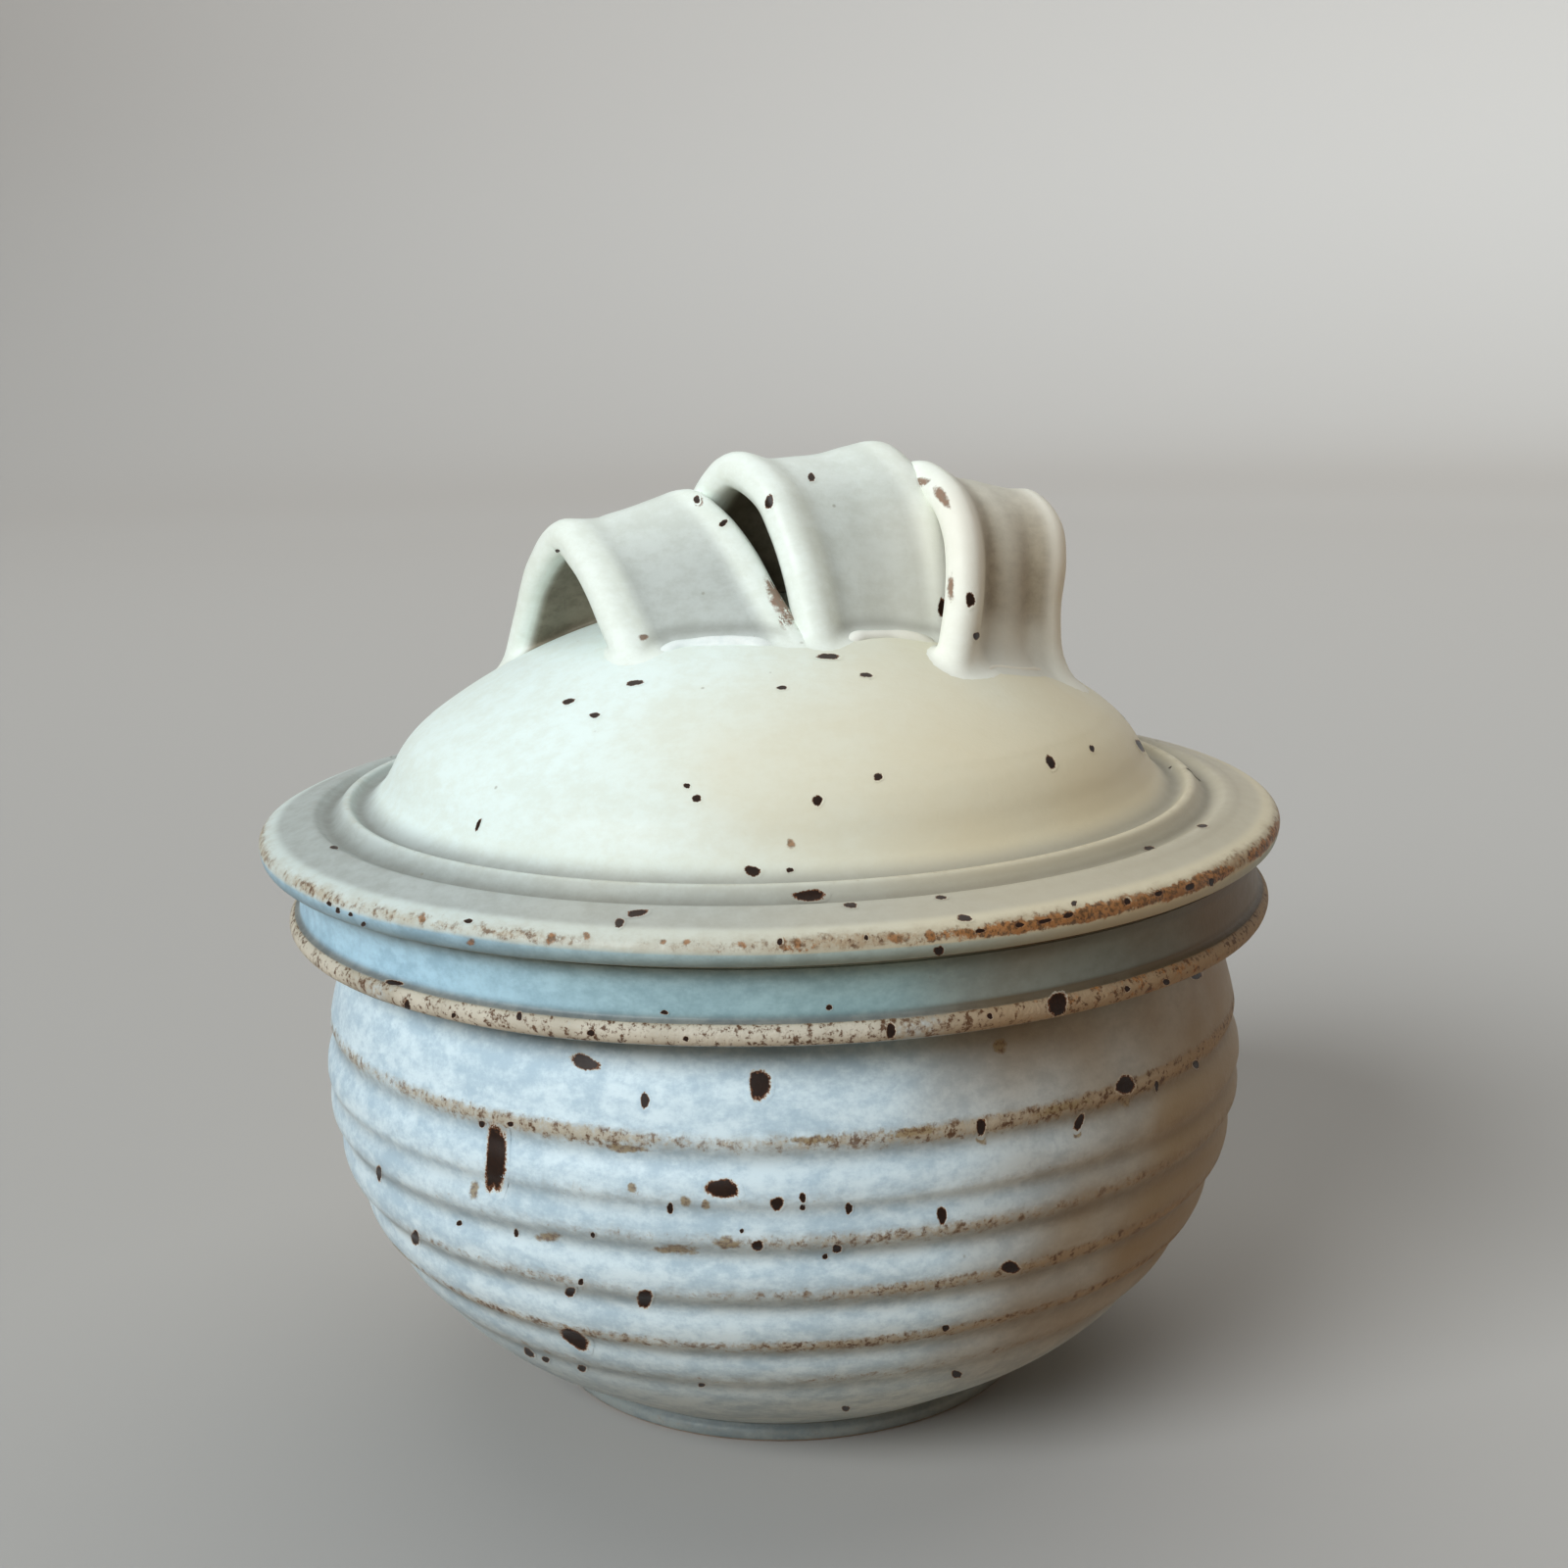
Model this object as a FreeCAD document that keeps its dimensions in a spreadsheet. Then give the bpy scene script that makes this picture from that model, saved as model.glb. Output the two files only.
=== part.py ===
import FreeCAD, Part
import math
import os
import Sketcher

# A thrown stoneware bowl with a loose domed lid. Three straps with rolled edges stand on the lid
# as slanted arches, one behind the other, and make its handle.
# Frame: origin at the centre of the foot's underside, +Z up, +X to the right of the handle's row.

doc = FreeCAD.newDocument("lidded_bowl")
sheet = doc.addObject("Spreadsheet::Sheet", "Sizes")

# Driving dimensions, in millimetres and degrees.
DIMENSIONS = {
    # Bowl: foot
    "foot_radius": 46.0,
    "foot_rise": 3.0,
    "foot_ring_width": 7.0,
    "foot_recess": 1.6,
    "waist_height": 6.4,
    "waist_depth": 1.1,
    "waist_radius": 3.2,
    # Bowl: belly, half of an ellipse cut off by the foot and by the neck
    "belly_radius": 86.6,
    "belly_middle": 62.0,
    "belly_half_height": 69.0,
    "wall": 6.0,
    "floor_thickness": 7.0,
    "floor_corner": 14.0,
    # Bowl: valleys between the throwing ridges
    "ridge_top": 71.3,
    "valley_pitch": 8.2,
    "valley_depth": 0.55,
    # Bowl: ledge and collar
    "neck_height": 88.0,
    "ledge_radius": 91.8,
    "ledge_flare": 3.0,
    "ledge_thickness": 4.2,
    "ledge_round": 1.5,
    "collar_radius": 90.0,
    "collar_hollow": 0.7,
    "collar_height": 8.1,
    "rim_round": 1.4,
    # Lid: brim
    "seat_gap": 0.2,
    "lid_shift": 1.5,
    "brim_radius": 95.0,
    "lip_thickness": 5.4,
    "brim_slope_rise": 4.3,
    "brim_wall": 6.5,
    "groove_radius": 2.6,
    "groove_depth": 0.8,
    "outer_groove_at": 82.6,
    "inner_groove_at": 76.8,
    # Lid: dome, a spherical cap on a short steep shoulder
    "dome_radius": 107.4,
    "lid_rise": 43.5,
    "dome_wall": 6.0,
    "shoulder_top": 70.0,
    "shoulder_foot": 72.6,
    "shoulder_round": 7.0,
    "flare_round": 4.0,
    # Lid: ring that drops inside the mouth
    "mouth_clearance": 2.6,
    "ring_drop": 7.0,
    "ring_wall": 5.0,
    # Handle straps
    "strap_width": 29.0,
    "strap_web": 4.0,
    "roll_radius": 2.8,
    "crest_radius": 8.5,
    "root_depth": 14.0,
    # Luting coils
    "coil_radius": 2.1,
    "coil_stand_off": 1.0,
}

# Each loop stands on the dome at along, back from the lid's axis. It rises so far above the dome
# and its feet reach so far from its middle. Its strap is turned about the vertical, its arch is
# slanted across the strap, and the whole leans along the strap.
LOOPS = {
    "left": {"along": -21.5, "back": -2.0, "rise": 20.4, "reach": 18.8,
             "turn": 0.0, "slant": 28.0, "lean": -12.0},
    "middle": {"along": 9.5, "back": 2.0, "rise": 28.3, "reach": 19.6,
               "turn": 26.0, "slant": 6.0, "lean": -3.0},
    "right": {"along": 41.0, "back": 1.5, "rise": 28.0, "reach": 15.4,
              "turn": 38.0, "slant": -21.0, "lean": 10.0},
}
VALLEY_COUNT = 7

for loop, sizes in LOOPS.items():
    for word, number in sizes.items():
        DIMENSIONS[loop + "_" + word] = number

for row, (alias, number) in enumerate(DIMENSIONS.items(), start=1):
    sheet.set("A%d" % row, alias)
    sheet.set("B%d" % row, str(number))
    sheet.setAlias("B%d" % row, alias)
doc.recompute()


class Size:
    """A length that knows its number and the expression that binds it to the sheet."""

    def __init__(self, number, text):
        self.number = float(number)
        self.text = text

    def _join(self, other, sign, number):
        other = as_size(other)
        return Size(number, "(%s %s %s)" % (self.text, sign, other.text))

    def __add__(self, other):
        return self._join(other, "+", self.number + as_size(other).number)

    def __sub__(self, other):
        return self._join(other, "-", self.number - as_size(other).number)

    def __mul__(self, other):
        return self._join(other, "*", self.number * as_size(other).number)

    def __truediv__(self, other):
        return self._join(other, "/", self.number / as_size(other).number)

    def __neg__(self):
        return Size(-self.number, "(-1 * %s)" % self.text)


def as_size(value):
    return value if isinstance(value, Size) else Size(value, repr(float(value)))


def size(alias):
    return Size(DIMENSIONS[alias], "Sizes.%s" % alias)


def root(value):
    return Size(math.sqrt(value.number), "sqrt(%s)" % value.text)


def sine(angle):
    return Size(math.sin(math.radians(angle.number)), "sin(%s)" % angle.text)


def cosine(angle):
    return Size(math.cos(math.radians(angle.number)), "cos(%s)" % angle.text)


def square(value):
    return value * value


class Guess(Size):
    """A coordinate that only starts the sketch's solver: the other constraints settle it."""


def free(value):
    return Guess(value.number, value.text)


def across(whole, part):
    """The other side of a right triangle: sqrt(whole^2 - part^2)."""
    return root(square(whole) - square(part))


# Heights, each stacked on the one below
ledge_underside = size("neck_height") + size("ledge_flare")
ledge_top = ledge_underside + size("ledge_thickness")
rim_height = ledge_top + size("collar_height")
seat_height = rim_height + size("seat_gap")
apex_height = seat_height + size("lid_rise")


# Bodies, sketches and constraints

def new_body(label):
    body = doc.addObject("PartDesign::Body", label)
    body.Label = label
    return body


def origin_plane(body, role):
    return next(item for item in body.Origin.OriginFeatures if item.Role == role)


def new_sketch(body, name, role):
    sketch = body.newObject("Sketcher::SketchObject", name)
    sketch.AttachmentSupport = [(origin_plane(body, role), "")]
    sketch.MapMode = "FlatFace"
    return sketch


def bind(sketch, value, kind, *elements):
    """Adds a dimension whose value follows the sheet."""
    index = sketch.addConstraint(Sketcher.Constraint(kind, *elements, value.number))
    sketch.setExpression("Constraints[%d]" % index, value.text)


def put_on(sketch, geometry, end, axis):
    """Puts a point on an axis, "x" or "y". A sketch numbers its axes -1 and -2."""
    number = {"x": -1, "y": -2}[axis]
    sketch.addConstraint(Sketcher.Constraint("PointOnObject", geometry, end, number))


def hold(sketch, value, kind, geometry, end):
    """Binds a point's distance from the origin, which is point 1 of a sketch's element -1."""
    bind(sketch, value, kind, -1, 1, geometry, end)


def place(sketch, geometry, end, x, y):
    """Holds a point at x, y from the sketch's origin. None puts it on that axis."""
    for value, kind, axis in ((x, "DistanceX", "y"), (y, "DistanceY", "x")):
        if value is None:
            put_on(sketch, geometry, end, axis)
        elif not isinstance(value, Guess):
            hold(sketch, value, kind, geometry, end)


def vector(x, y):
    return FreeCAD.Vector(x.number if x else 0.0, y.number if y else 0.0, 0.0)


def add_line(sketch, start, end):
    return sketch.addGeometry(Part.LineSegment(vector(*start), vector(*end)), False)


def add_arc(sketch, centre, radius, first, last):
    circle = Part.Circle(vector(*centre), FreeCAD.Vector(0, 0, 1), radius.number)
    return sketch.addGeometry(Part.ArcOfCircle(circle, first, last), False)


def angle_at(centre, point):
    """The polar angle of a point seen from a centre, in radians."""
    span = vector(*point) - vector(*centre)
    return math.atan2(span.y, span.x)


def join(sketch, first, first_end, second, second_end):
    sketch.addConstraint(Sketcher.Constraint("Coincident", first, first_end, second, second_end))


def polyline(sketch, points):
    """A chain of lines whose corners are held by their distances from the origin."""
    chain = [add_line(sketch, start, end) for start, end in zip(points, points[1:])]
    place(sketch, chain[0], 1, *points[0])
    for before, after in zip(chain, chain[1:]):
        join(sketch, before, 2, after, 1)
    for line, point in zip(chain, points[1:]):
        place(sketch, line, 2, *point)
    return chain


def ellipse_arc(sketch, radius, half_height, middle, low, high):
    """An upright half-ellipse's stretch between two heights, centred on the axis."""
    ellipse = Part.Ellipse(vector(None, middle), radius.number, half_height.number)
    first = math.asin((low - middle).number / half_height.number)
    last = math.asin((high - middle).number / half_height.number)
    arc = sketch.addGeometry(Part.ArcOfEllipse(ellipse, first, last), False)
    place(sketch, arc, 3, None, middle)
    return arc


def size_ellipse(sketch, arc, radius, half_height):
    before = sketch.GeometryCount
    sketch.exposeInternalGeometry(arc)
    major, minor = before, before + 1
    sketch.addConstraint(Sketcher.Constraint("Horizontal", major))
    bind(sketch, radius * 2, "Distance", major)
    bind(sketch, half_height * 2, "Distance", minor)


def turn_profile(body, kind, name, profile):
    feature = body.newObject(kind, name)
    feature.Profile = profile
    feature.ReferenceAxis = (profile, ["V_Axis"])
    feature.Angle = 360.0
    profile.Visibility = False
    return feature


def ring_edges(feature, rings):
    """Names of the feature's circular edges, each given by its radius and height."""
    names = []
    for number, edge in enumerate(feature.Shape.Edges, start=1):
        if edge.Degenerated or not isinstance(edge.Curve, Part.Circle):
            continue
        radius, height = edge.Curve.Radius, edge.Curve.Center.z
        if any(abs(radius - r.number) < 0.01 and abs(height - z.number) < 0.01 for r, z in rings):
            names.append("Edge%d" % number)
    assert len(names) == len(rings), "a ring to be rounded wasn't found"
    return names


def round_rings(body, name, base, radius, rings):
    doc.recompute()
    fillet = body.newObject("PartDesign::Fillet", name)
    fillet.Base = (base, ring_edges(base, rings))
    fillet.setExpression("Radius", radius.text)
    return fillet


# Bowl

def belly_at(height, inset=0.0):
    """The belly's radius at a height, or that of its inner face with the wall as inset."""
    radius = size("belly_radius") - inset
    half_height = size("belly_half_height") - inset
    share = (height - size("belly_middle")) / half_height
    return radius * root(as_size(1) - square(share))


def build_bowl():
    body = new_body("bowl")
    wall = size("wall")
    foot, rise = size("foot_radius"), size("foot_rise")
    recess = size("foot_recess")
    ring_inner = foot - size("foot_ring_width")
    neck, ledge_low, ledge_high = size("neck_height"), ledge_underside, ledge_top
    ledge, collar, rim = size("ledge_radius"), size("collar_radius"), rim_height
    mouth = collar - wall
    floor = recess + size("floor_thickness")
    gallery_foot = neck + wall * 0.35
    gallery_top = ledge_high + wall * 0.2

    # The section runs up the outside from the foot, over the rim and down the inside.
    sketch = new_sketch(body, "bowl_section", "XZ_Plane")
    foot_chain = polyline(sketch, [
        (None, floor), (None, recess), (ring_inner, recess), (ring_inner, None), (foot, None),
        (foot, rise), (free(belly_at(rise)), rise)])
    belly = ellipse_arc(sketch, size("belly_radius"), size("belly_half_height"),
                        size("belly_middle"), rise, neck)
    ledge_chain = polyline(sketch, [
        (free(belly_at(neck)), neck), (ledge, ledge_low), (ledge, ledge_high), (collar, ledge_high)])
    half_collar = (rim - ledge_high) / 2
    hollow = size("collar_hollow")
    hollow_radius = (square(half_collar) + square(hollow)) / (hollow * 2)
    hollow_centre = (collar - hollow + hollow_radius, ledge_high + half_collar)
    low, high = (collar, ledge_high), (collar, rim)
    collar_arc = add_arc(sketch, hollow_centre, hollow_radius,
                         angle_at(hollow_centre, high), angle_at(hollow_centre, low) % math.tau)
    rim_chain = polyline(sketch, [
        (collar, rim), (mouth, rim), (mouth, gallery_top),
        (free(belly_at(gallery_foot, wall)), gallery_foot)])
    inside = ellipse_arc(sketch, size("belly_radius") - wall, size("belly_half_height") - wall,
                         size("belly_middle"), floor, gallery_foot)
    floor_line = add_line(sketch, (belly_at(floor, wall), floor), (None, floor))

    join(sketch, foot_chain[-1], 2, belly, 1)
    join(sketch, belly, 2, ledge_chain[0], 1)
    join(sketch, ledge_chain[-1], 2, collar_arc, 2)
    join(sketch, collar_arc, 1, rim_chain[0], 1)
    bind(sketch, hollow_radius, "Radius", collar_arc)
    join(sketch, rim_chain[-1], 2, inside, 2)
    join(sketch, inside, 1, floor_line, 1)
    join(sketch, floor_line, 2, foot_chain[0], 1)
    sketch.addConstraint(Sketcher.Constraint("Horizontal", floor_line))
    size_ellipse(sketch, belly, size("belly_radius"), size("belly_half_height"))
    size_ellipse(sketch, inside, size("belly_radius") - wall, size("belly_half_height") - wall)
    turn_profile(body, "PartDesign::Revolution", "bowl_turned", sketch)

    # Shallow round valleys, edge to edge, leave the throwing ridges as soft crests between them.
    valleys = new_sketch(body, "throwing_valleys", "XZ_Plane")
    pitch, depth = size("valley_pitch"), size("valley_depth")
    clear = size("belly_radius") + depth * 10
    crests = [size("ridge_top") - pitch * number for number in range(VALLEY_COUNT + 1)]
    back = polyline(valleys, [
        (belly_at(crests[0]), crests[0]), (clear, crests[0]), (clear, crests[-1]),
        (belly_at(crests[-1]), crests[-1])])
    above, end = back[0], 1
    for high, low in zip(crests, crests[1:]):
        valley = add_valley(valleys, high, low, depth)
        join(valleys, above, end, valley, 1)
        above, end = valley, 2
        if low is not crests[-1]:
            place(valleys, valley, end, belly_at(low), low)
    join(valleys, above, end, back[-1], 2)
    waist = (belly_at(size("waist_height")) + size("waist_radius") - size("waist_depth"),
             size("waist_height"))
    circle = Part.Circle(vector(*waist), FreeCAD.Vector(0, 0, 1), size("waist_radius").number)
    index = valleys.addGeometry(circle, False)
    place(valleys, index, 3, *waist)
    bind(valleys, size("waist_radius"), "Radius", index)
    ridged = turn_profile(body, "PartDesign::Groove", "throwing_ridges", valleys)
    finish_bowl(body, ridged)
    return body


def add_valley(sketch, high, low, depth):
    """An arc hollowed into the belly between two crests. It starts at the upper one."""
    top, bottom = vector(belly_at(high), high), vector(belly_at(low), low)
    chord_square = square(high - low) + square(belly_at(high) - belly_at(low))
    radius = chord_square / (depth * 8) + depth / 2
    down = (bottom - top).normalize()
    outward = FreeCAD.Vector(-down.y, down.x, 0)
    centre = (top + bottom) * 0.5 + outward * (radius.number - depth.number)
    first, last = (math.atan2(point.y - centre.y, point.x - centre.x) % math.tau
                   for point in (top, bottom))
    circle = Part.Circle(centre, FreeCAD.Vector(0, 0, 1), radius.number)
    arc = sketch.addGeometry(Part.ArcOfCircle(circle, first, last), False)
    bind(sketch, radius, "Radius", arc)
    return arc


def finish_bowl(body, ridged):
    rim, collar = rim_height, size("collar_radius")
    ledge = size("ledge_radius")
    floor = size("foot_recess") + size("floor_thickness")
    bead = round_rings(body, "ledge_bead", ridged, size("ledge_round"),
                       [(ledge, ledge_underside), (ledge, ledge_top)])
    lip = round_rings(body, "rim_edges", bead, size("rim_round"),
                      [(collar, rim), (collar - size("wall"), rim)])
    return round_rings(body, "floor_sweep", lip, size("floor_corner"),
                       [(belly_at(floor, size("wall")), floor)])


# Lid

def build_lid():
    body = new_body("lid")
    body.setExpression("Placement.Base.x", (-size("lid_shift")).text)
    seat = seat_height
    lip = size("lip_thickness")
    lip_round = lip / 2
    brim_edge = size("brim_radius") - lip_round
    dome, wall = size("dome_radius"), size("dome_wall")
    centre = apex_height - dome
    top, foot = size("shoulder_top"), size("shoulder_foot")
    slope_top = seat + lip + size("brim_slope_rise")
    ring_outer = size("collar_radius") - size("wall") - size("mouth_clearance")
    ring_inner = ring_outer - size("ring_wall")
    ring_low = seat - size("ring_drop")
    inner_dome = dome - wall
    inner_top = top - wall
    inner_foot = foot - wall
    under_brim = slope_top - size("brim_wall")

    sketch = new_sketch(body, "lid_section", "XZ_Plane")
    shoulder_point = (top, free(centre + across(dome, top)))
    outer_dome = add_arc(sketch, (None, centre), dome,
                         angle_at((None, centre), shoulder_point), math.pi / 2)
    shoulder = polyline(sketch, [shoulder_point, (foot, slope_top), (brim_edge, seat + lip)])
    lip_arc = add_arc(sketch, (brim_edge, seat + lip_round), lip_round, -math.pi / 2, math.pi / 2)
    inner_shoulder = (inner_top, free(centre + across(inner_dome, inner_top)))
    under = polyline(sketch, [
        (brim_edge, seat), (ring_outer, seat), (ring_outer, ring_low), (ring_inner, ring_low),
        (ring_inner, seat), (inner_foot, under_brim), inner_shoulder])
    inner_arc = add_arc(sketch, (None, centre), inner_dome,
                        angle_at((None, centre), inner_shoulder), math.pi / 2)
    axis = add_line(sketch, (None, centre + inner_dome), (None, centre + dome))

    for arc, radius in ((outer_dome, dome), (inner_arc, inner_dome)):
        place(sketch, arc, 3, None, centre)
        bind(sketch, radius, "Radius", arc)
    join(sketch, outer_dome, 1, shoulder[0], 1)
    join(sketch, shoulder[-1], 2, lip_arc, 2)
    join(sketch, lip_arc, 1, under[0], 1)
    place(sketch, lip_arc, 3, brim_edge, free(seat + lip_round))
    join(sketch, under[-1], 2, inner_arc, 1)
    join(sketch, inner_arc, 2, axis, 1)
    join(sketch, axis, 2, outer_dome, 2)
    put_on(sketch, axis, 1, "y")
    put_on(sketch, axis, 2, "y")
    turned = turn_profile(body, "PartDesign::Revolution", "lid_turned", sketch)

    softened = round_rings(body, "shoulder_curve", turned, size("shoulder_round"), [shoulder_point])
    round_rings(body, "flare_curve", softened, size("flare_round"), [(foot, slope_top)])

    # Two turned grooves ring the foot of the dome.
    grooves = new_sketch(body, "lid_grooves", "XZ_Plane")
    run = brim_edge - foot
    for name in ("outer_groove_at", "inner_groove_at"):
        at = size(name)
        surface = seat + lip + size("brim_slope_rise") * ((brim_edge - at) / run)
        spot = (at, surface + size("groove_radius") - size("groove_depth"))
        circle = Part.Circle(vector(*spot), FreeCAD.Vector(0, 0, 1), size("groove_radius").number)
        index = grooves.addGeometry(circle, False)
        place(grooves, index, 3, *spot)
        bind(grooves, size("groove_radius"), "Radius", index)
    turn_profile(body, "PartDesign::Groove", "turned_grooves", grooves)
    return body


# Handle

def dome_height(along, back):
    """The height of the dome's outer face over a point of its plan."""
    dome = size("dome_radius")
    return apex_height - dome + root(square(dome) - square(along) - square(back))


def strap_section(sketch, height):
    """A strap's section: two rolled edges joined by a web that is hollow on both faces."""
    roll, half_web = size("roll_radius"), size("strap_web") / 2
    arm = size("strap_width") / 2 - roll
    hollow = (square(arm) - square(roll) + square(half_web)) / ((roll - half_web) * 2)
    offset = half_web + hollow
    left, right = (-arm, height), (arm, height)
    over, under = (None, height + offset), (None, height - offset)
    tilt = math.atan2(offset.number, arm.number)
    left_roll = add_arc(sketch, left, roll, tilt, math.tau - tilt)
    right_roll = add_arc(sketch, right, roll, tilt - math.pi, math.pi - tilt)
    upper = add_arc(sketch, over, hollow, math.pi + tilt, math.tau - tilt)
    lower = add_arc(sketch, under, hollow, tilt, math.pi - tilt)
    for arc, centre in ((left_roll, left), (right_roll, right)):
        place(sketch, arc, 3, *centre)
        bind(sketch, roll, "Radius", arc)
    for arc in (upper, lower):
        bind(sketch, hollow, "Radius", arc)
    for first, first_end, second, second_end in (
            (left_roll, 1, upper, 1), (upper, 2, right_roll, 2),
            (right_roll, 1, lower, 1), (lower, 2, left_roll, 2)):
        sketch.addConstraint(
            Sketcher.Constraint("Tangent", first, first_end, second, second_end))


def half_arch(sketch, loop, side):
    """From the crest over a round shoulder and down a straight leg into the dome."""
    radius, root_depth = size("crest_radius"), size("root_depth")
    reach = size(loop + "_reach")
    crest = size(loop + "_rise") - size("roll_radius")
    centre_height = crest - radius
    reach_number = reach.number
    # The leg is tangent to the shoulder and passes through the foot at the dome's height.
    span = math.hypot(reach_number, centre_height.number)
    bearing = math.atan2(-centre_height.number, reach_number)
    touch = bearing + math.acos(radius.number / span)
    foot_run = (reach_number - radius.number * math.cos(touch)) / (
        centre_height.number + radius.number * math.sin(touch))
    end = (as_size(side * (reach_number + root_depth.number * foot_run)), -root_depth)
    touch_point = (as_size(side * radius.number * math.cos(touch)),
                   as_size(centre_height.number + radius.number * math.sin(touch)))
    if side > 0:
        shoulder = add_arc(sketch, (None, centre_height), radius, touch, math.pi / 2)
        crest_end, touch_end = 2, 1
    else:
        shoulder = add_arc(sketch, (None, centre_height), radius, math.pi / 2, math.pi - touch)
        crest_end, touch_end = 1, 2
    leg = add_line(sketch, touch_point, end)
    foot = sketch.addGeometry(Part.Point(FreeCAD.Vector(side * reach_number, 0, 0)), True)
    place(sketch, shoulder, 3, None, centre_height)
    bind(sketch, radius, "Radius", shoulder)
    put_on(sketch, shoulder, crest_end, "y")
    sketch.addConstraint(Sketcher.Constraint("Tangent", shoulder, touch_end, leg, 1))
    place(sketch, foot, 1, reach if side > 0 else -reach, None)
    sketch.addConstraint(Sketcher.Constraint("PointOnObject", foot, 1, leg))
    hold(sketch, -root_depth, "DistanceY", leg, 2)


def build_strap(loop):
    """One arch as it leaves the potter's hands, with its roots running on below the dome."""
    body = new_body(loop + "_strap")
    section = new_sketch(body, loop + "_section", "XZ_Plane")
    strap_section(section, size(loop + "_rise") - size("roll_radius"))
    for side, word in ((-1, "front"), (1, "rear")):
        path = new_sketch(body, "%s_%s_path" % (loop, word), "YZ_Plane")
        path.AttachmentOffset = FreeCAD.Placement(
            FreeCAD.Vector(), FreeCAD.Rotation(FreeCAD.Vector(0, 1, 0), LOOPS[loop]["slant"]))
        path.setExpression("AttachmentOffset.Rotation.Angle", size(loop + "_slant").text)
        half_arch(path, loop, side)
        path.Visibility = False
        pipe = body.newObject("PartDesign::AdditivePipe", "%s_%s_half" % (loop, word))
        pipe.Profile = section
        pipe.Spine = path
        pipe.Mode = "Binormal"
        pipe.Binormal = FreeCAD.Vector(1, 0, 0)
    section.Visibility = False
    stand(body, loop)
    return body


def dome_under(loop, x, y):
    """The dome's height under x, y of a loop's own leaning and turned frame."""
    along, back = size(loop + "_along"), size(loop + "_back")
    turn, lean = size(loop + "_turn"), size(loop + "_lean")
    dome = size("dome_radius")
    depth = root(square(dome) - square(along) - square(back))
    # The dome's centre as the loop sees it.
    level_x = -along * cosine(turn) - back * sine(turn)
    centre_y = along * sine(turn) - back * cosine(turn)
    centre_x = level_x * cosine(lean) + depth * sine(lean)
    centre_z = level_x * sine(lean) - depth * cosine(lean)
    return centre_z + root(square(dome) - square(x - centre_x) - square(y - centre_y))


def build_coil(loop, side, word):
    """A roll of clay with rounded ends, as long as the strap is wide, along one of its feet."""
    body = new_body("%s_%s_roll" % (loop, word))
    sketch = new_sketch(body, "%s_%s_roll_section" % (loop, word), "XZ_Plane")
    radius, crest = size("coil_radius"), size("crest_radius")
    arm = size("strap_width") / 2 - radius
    rise, reach, slant = (size("%s_%s" % (loop, name)) for name in ("rise", "reach", "slant"))
    # The leg runs on outwards below the loop's own level until it meets the dome.
    foot_x, foot_y = reach * sine(slant) * -side, reach * cosine(slant) * side
    leg_run = (reach - crest) / (rise - crest)
    foot_reach = reach - dome_under(loop, foot_x, foot_y) * leg_run
    shift = foot_reach * sine(slant) * -side
    half_web = size("strap_web") / 2 * root(as_size(1) + square(leg_run * cosine(slant)))
    outward = foot_reach * cosine(slant) + half_web + size("coil_stand_off")
    sketch.setExpression("AttachmentOffset.Base.z", (outward * -side).text)
    ends = [(x, dome_under(loop, x, outward * side)) for x in (shift - arm, shift + arm)]
    tilt = angle_at(*ends)
    left = add_arc(sketch, ends[0], radius, math.pi / 2 + tilt, math.pi + tilt)
    right = add_arc(sketch, ends[1], radius, tilt, math.pi / 2 + tilt)
    top = add_line(sketch, (ends[0][0], ends[0][1] + radius), (ends[1][0], ends[1][1] + radius))
    base = add_line(sketch, (ends[1][0] + radius, ends[1][1]), (ends[0][0] - radius, ends[0][1]))
    for arc, centre in ((left, ends[0]), (right, ends[1])):
        place(sketch, arc, 3, *centre)
        bind(sketch, radius, "Radius", arc)
    sketch.addConstraint(Sketcher.Constraint("Tangent", left, 1, top, 1))
    sketch.addConstraint(Sketcher.Constraint("Tangent", top, 2, right, 2))
    join(sketch, right, 1, base, 1)
    join(sketch, base, 2, left, 2)
    sketch.addConstraint(Sketcher.Constraint("PointOnObject", left, 3, base))
    sketch.addConstraint(Sketcher.Constraint("PointOnObject", right, 3, base))
    turned = body.newObject("PartDesign::Revolution", "%s_%s_rolled" % (loop, word))
    turned.Profile = sketch
    turned.ReferenceAxis = (sketch, ["Edge4"])
    turned.Angle = 360.0
    sketch.Visibility = False
    stand(body, loop)
    return body


def stand(body, loop):
    """Stands a body at its loop's place on the dome, leaning and turned like the loop."""
    along, back = size(loop + "_along"), size(loop + "_back")
    body.setExpression("Placement.Base.x", (along - size("lid_shift")).text)
    body.setExpression("Placement.Base.y", back.text)
    body.setExpression("Placement.Base.z", dome_height(along, back).text)
    body.setExpression("Placement.Rotation.Yaw", size(loop + "_turn").text)
    body.setExpression("Placement.Rotation.Pitch", size(loop + "_lean").text)


def cut(label, base, tool):
    result = doc.addObject("Part::Cut", label)
    result.Label = label
    result.Base = base
    result.Tool = tool
    return result


def build_dome_ball():
    """The sphere that the dome's outer face belongs to. It trims all that stands on the dome."""
    ball = doc.addObject("Part::Sphere", "dome_ball")
    ball.setExpression("Radius", size("dome_radius").text)
    ball.setExpression("Placement.Base.x", (-size("lid_shift")).text)
    ball.setExpression("Placement.Base.z", (apex_height - size("dome_radius")).text)
    return ball


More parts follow.
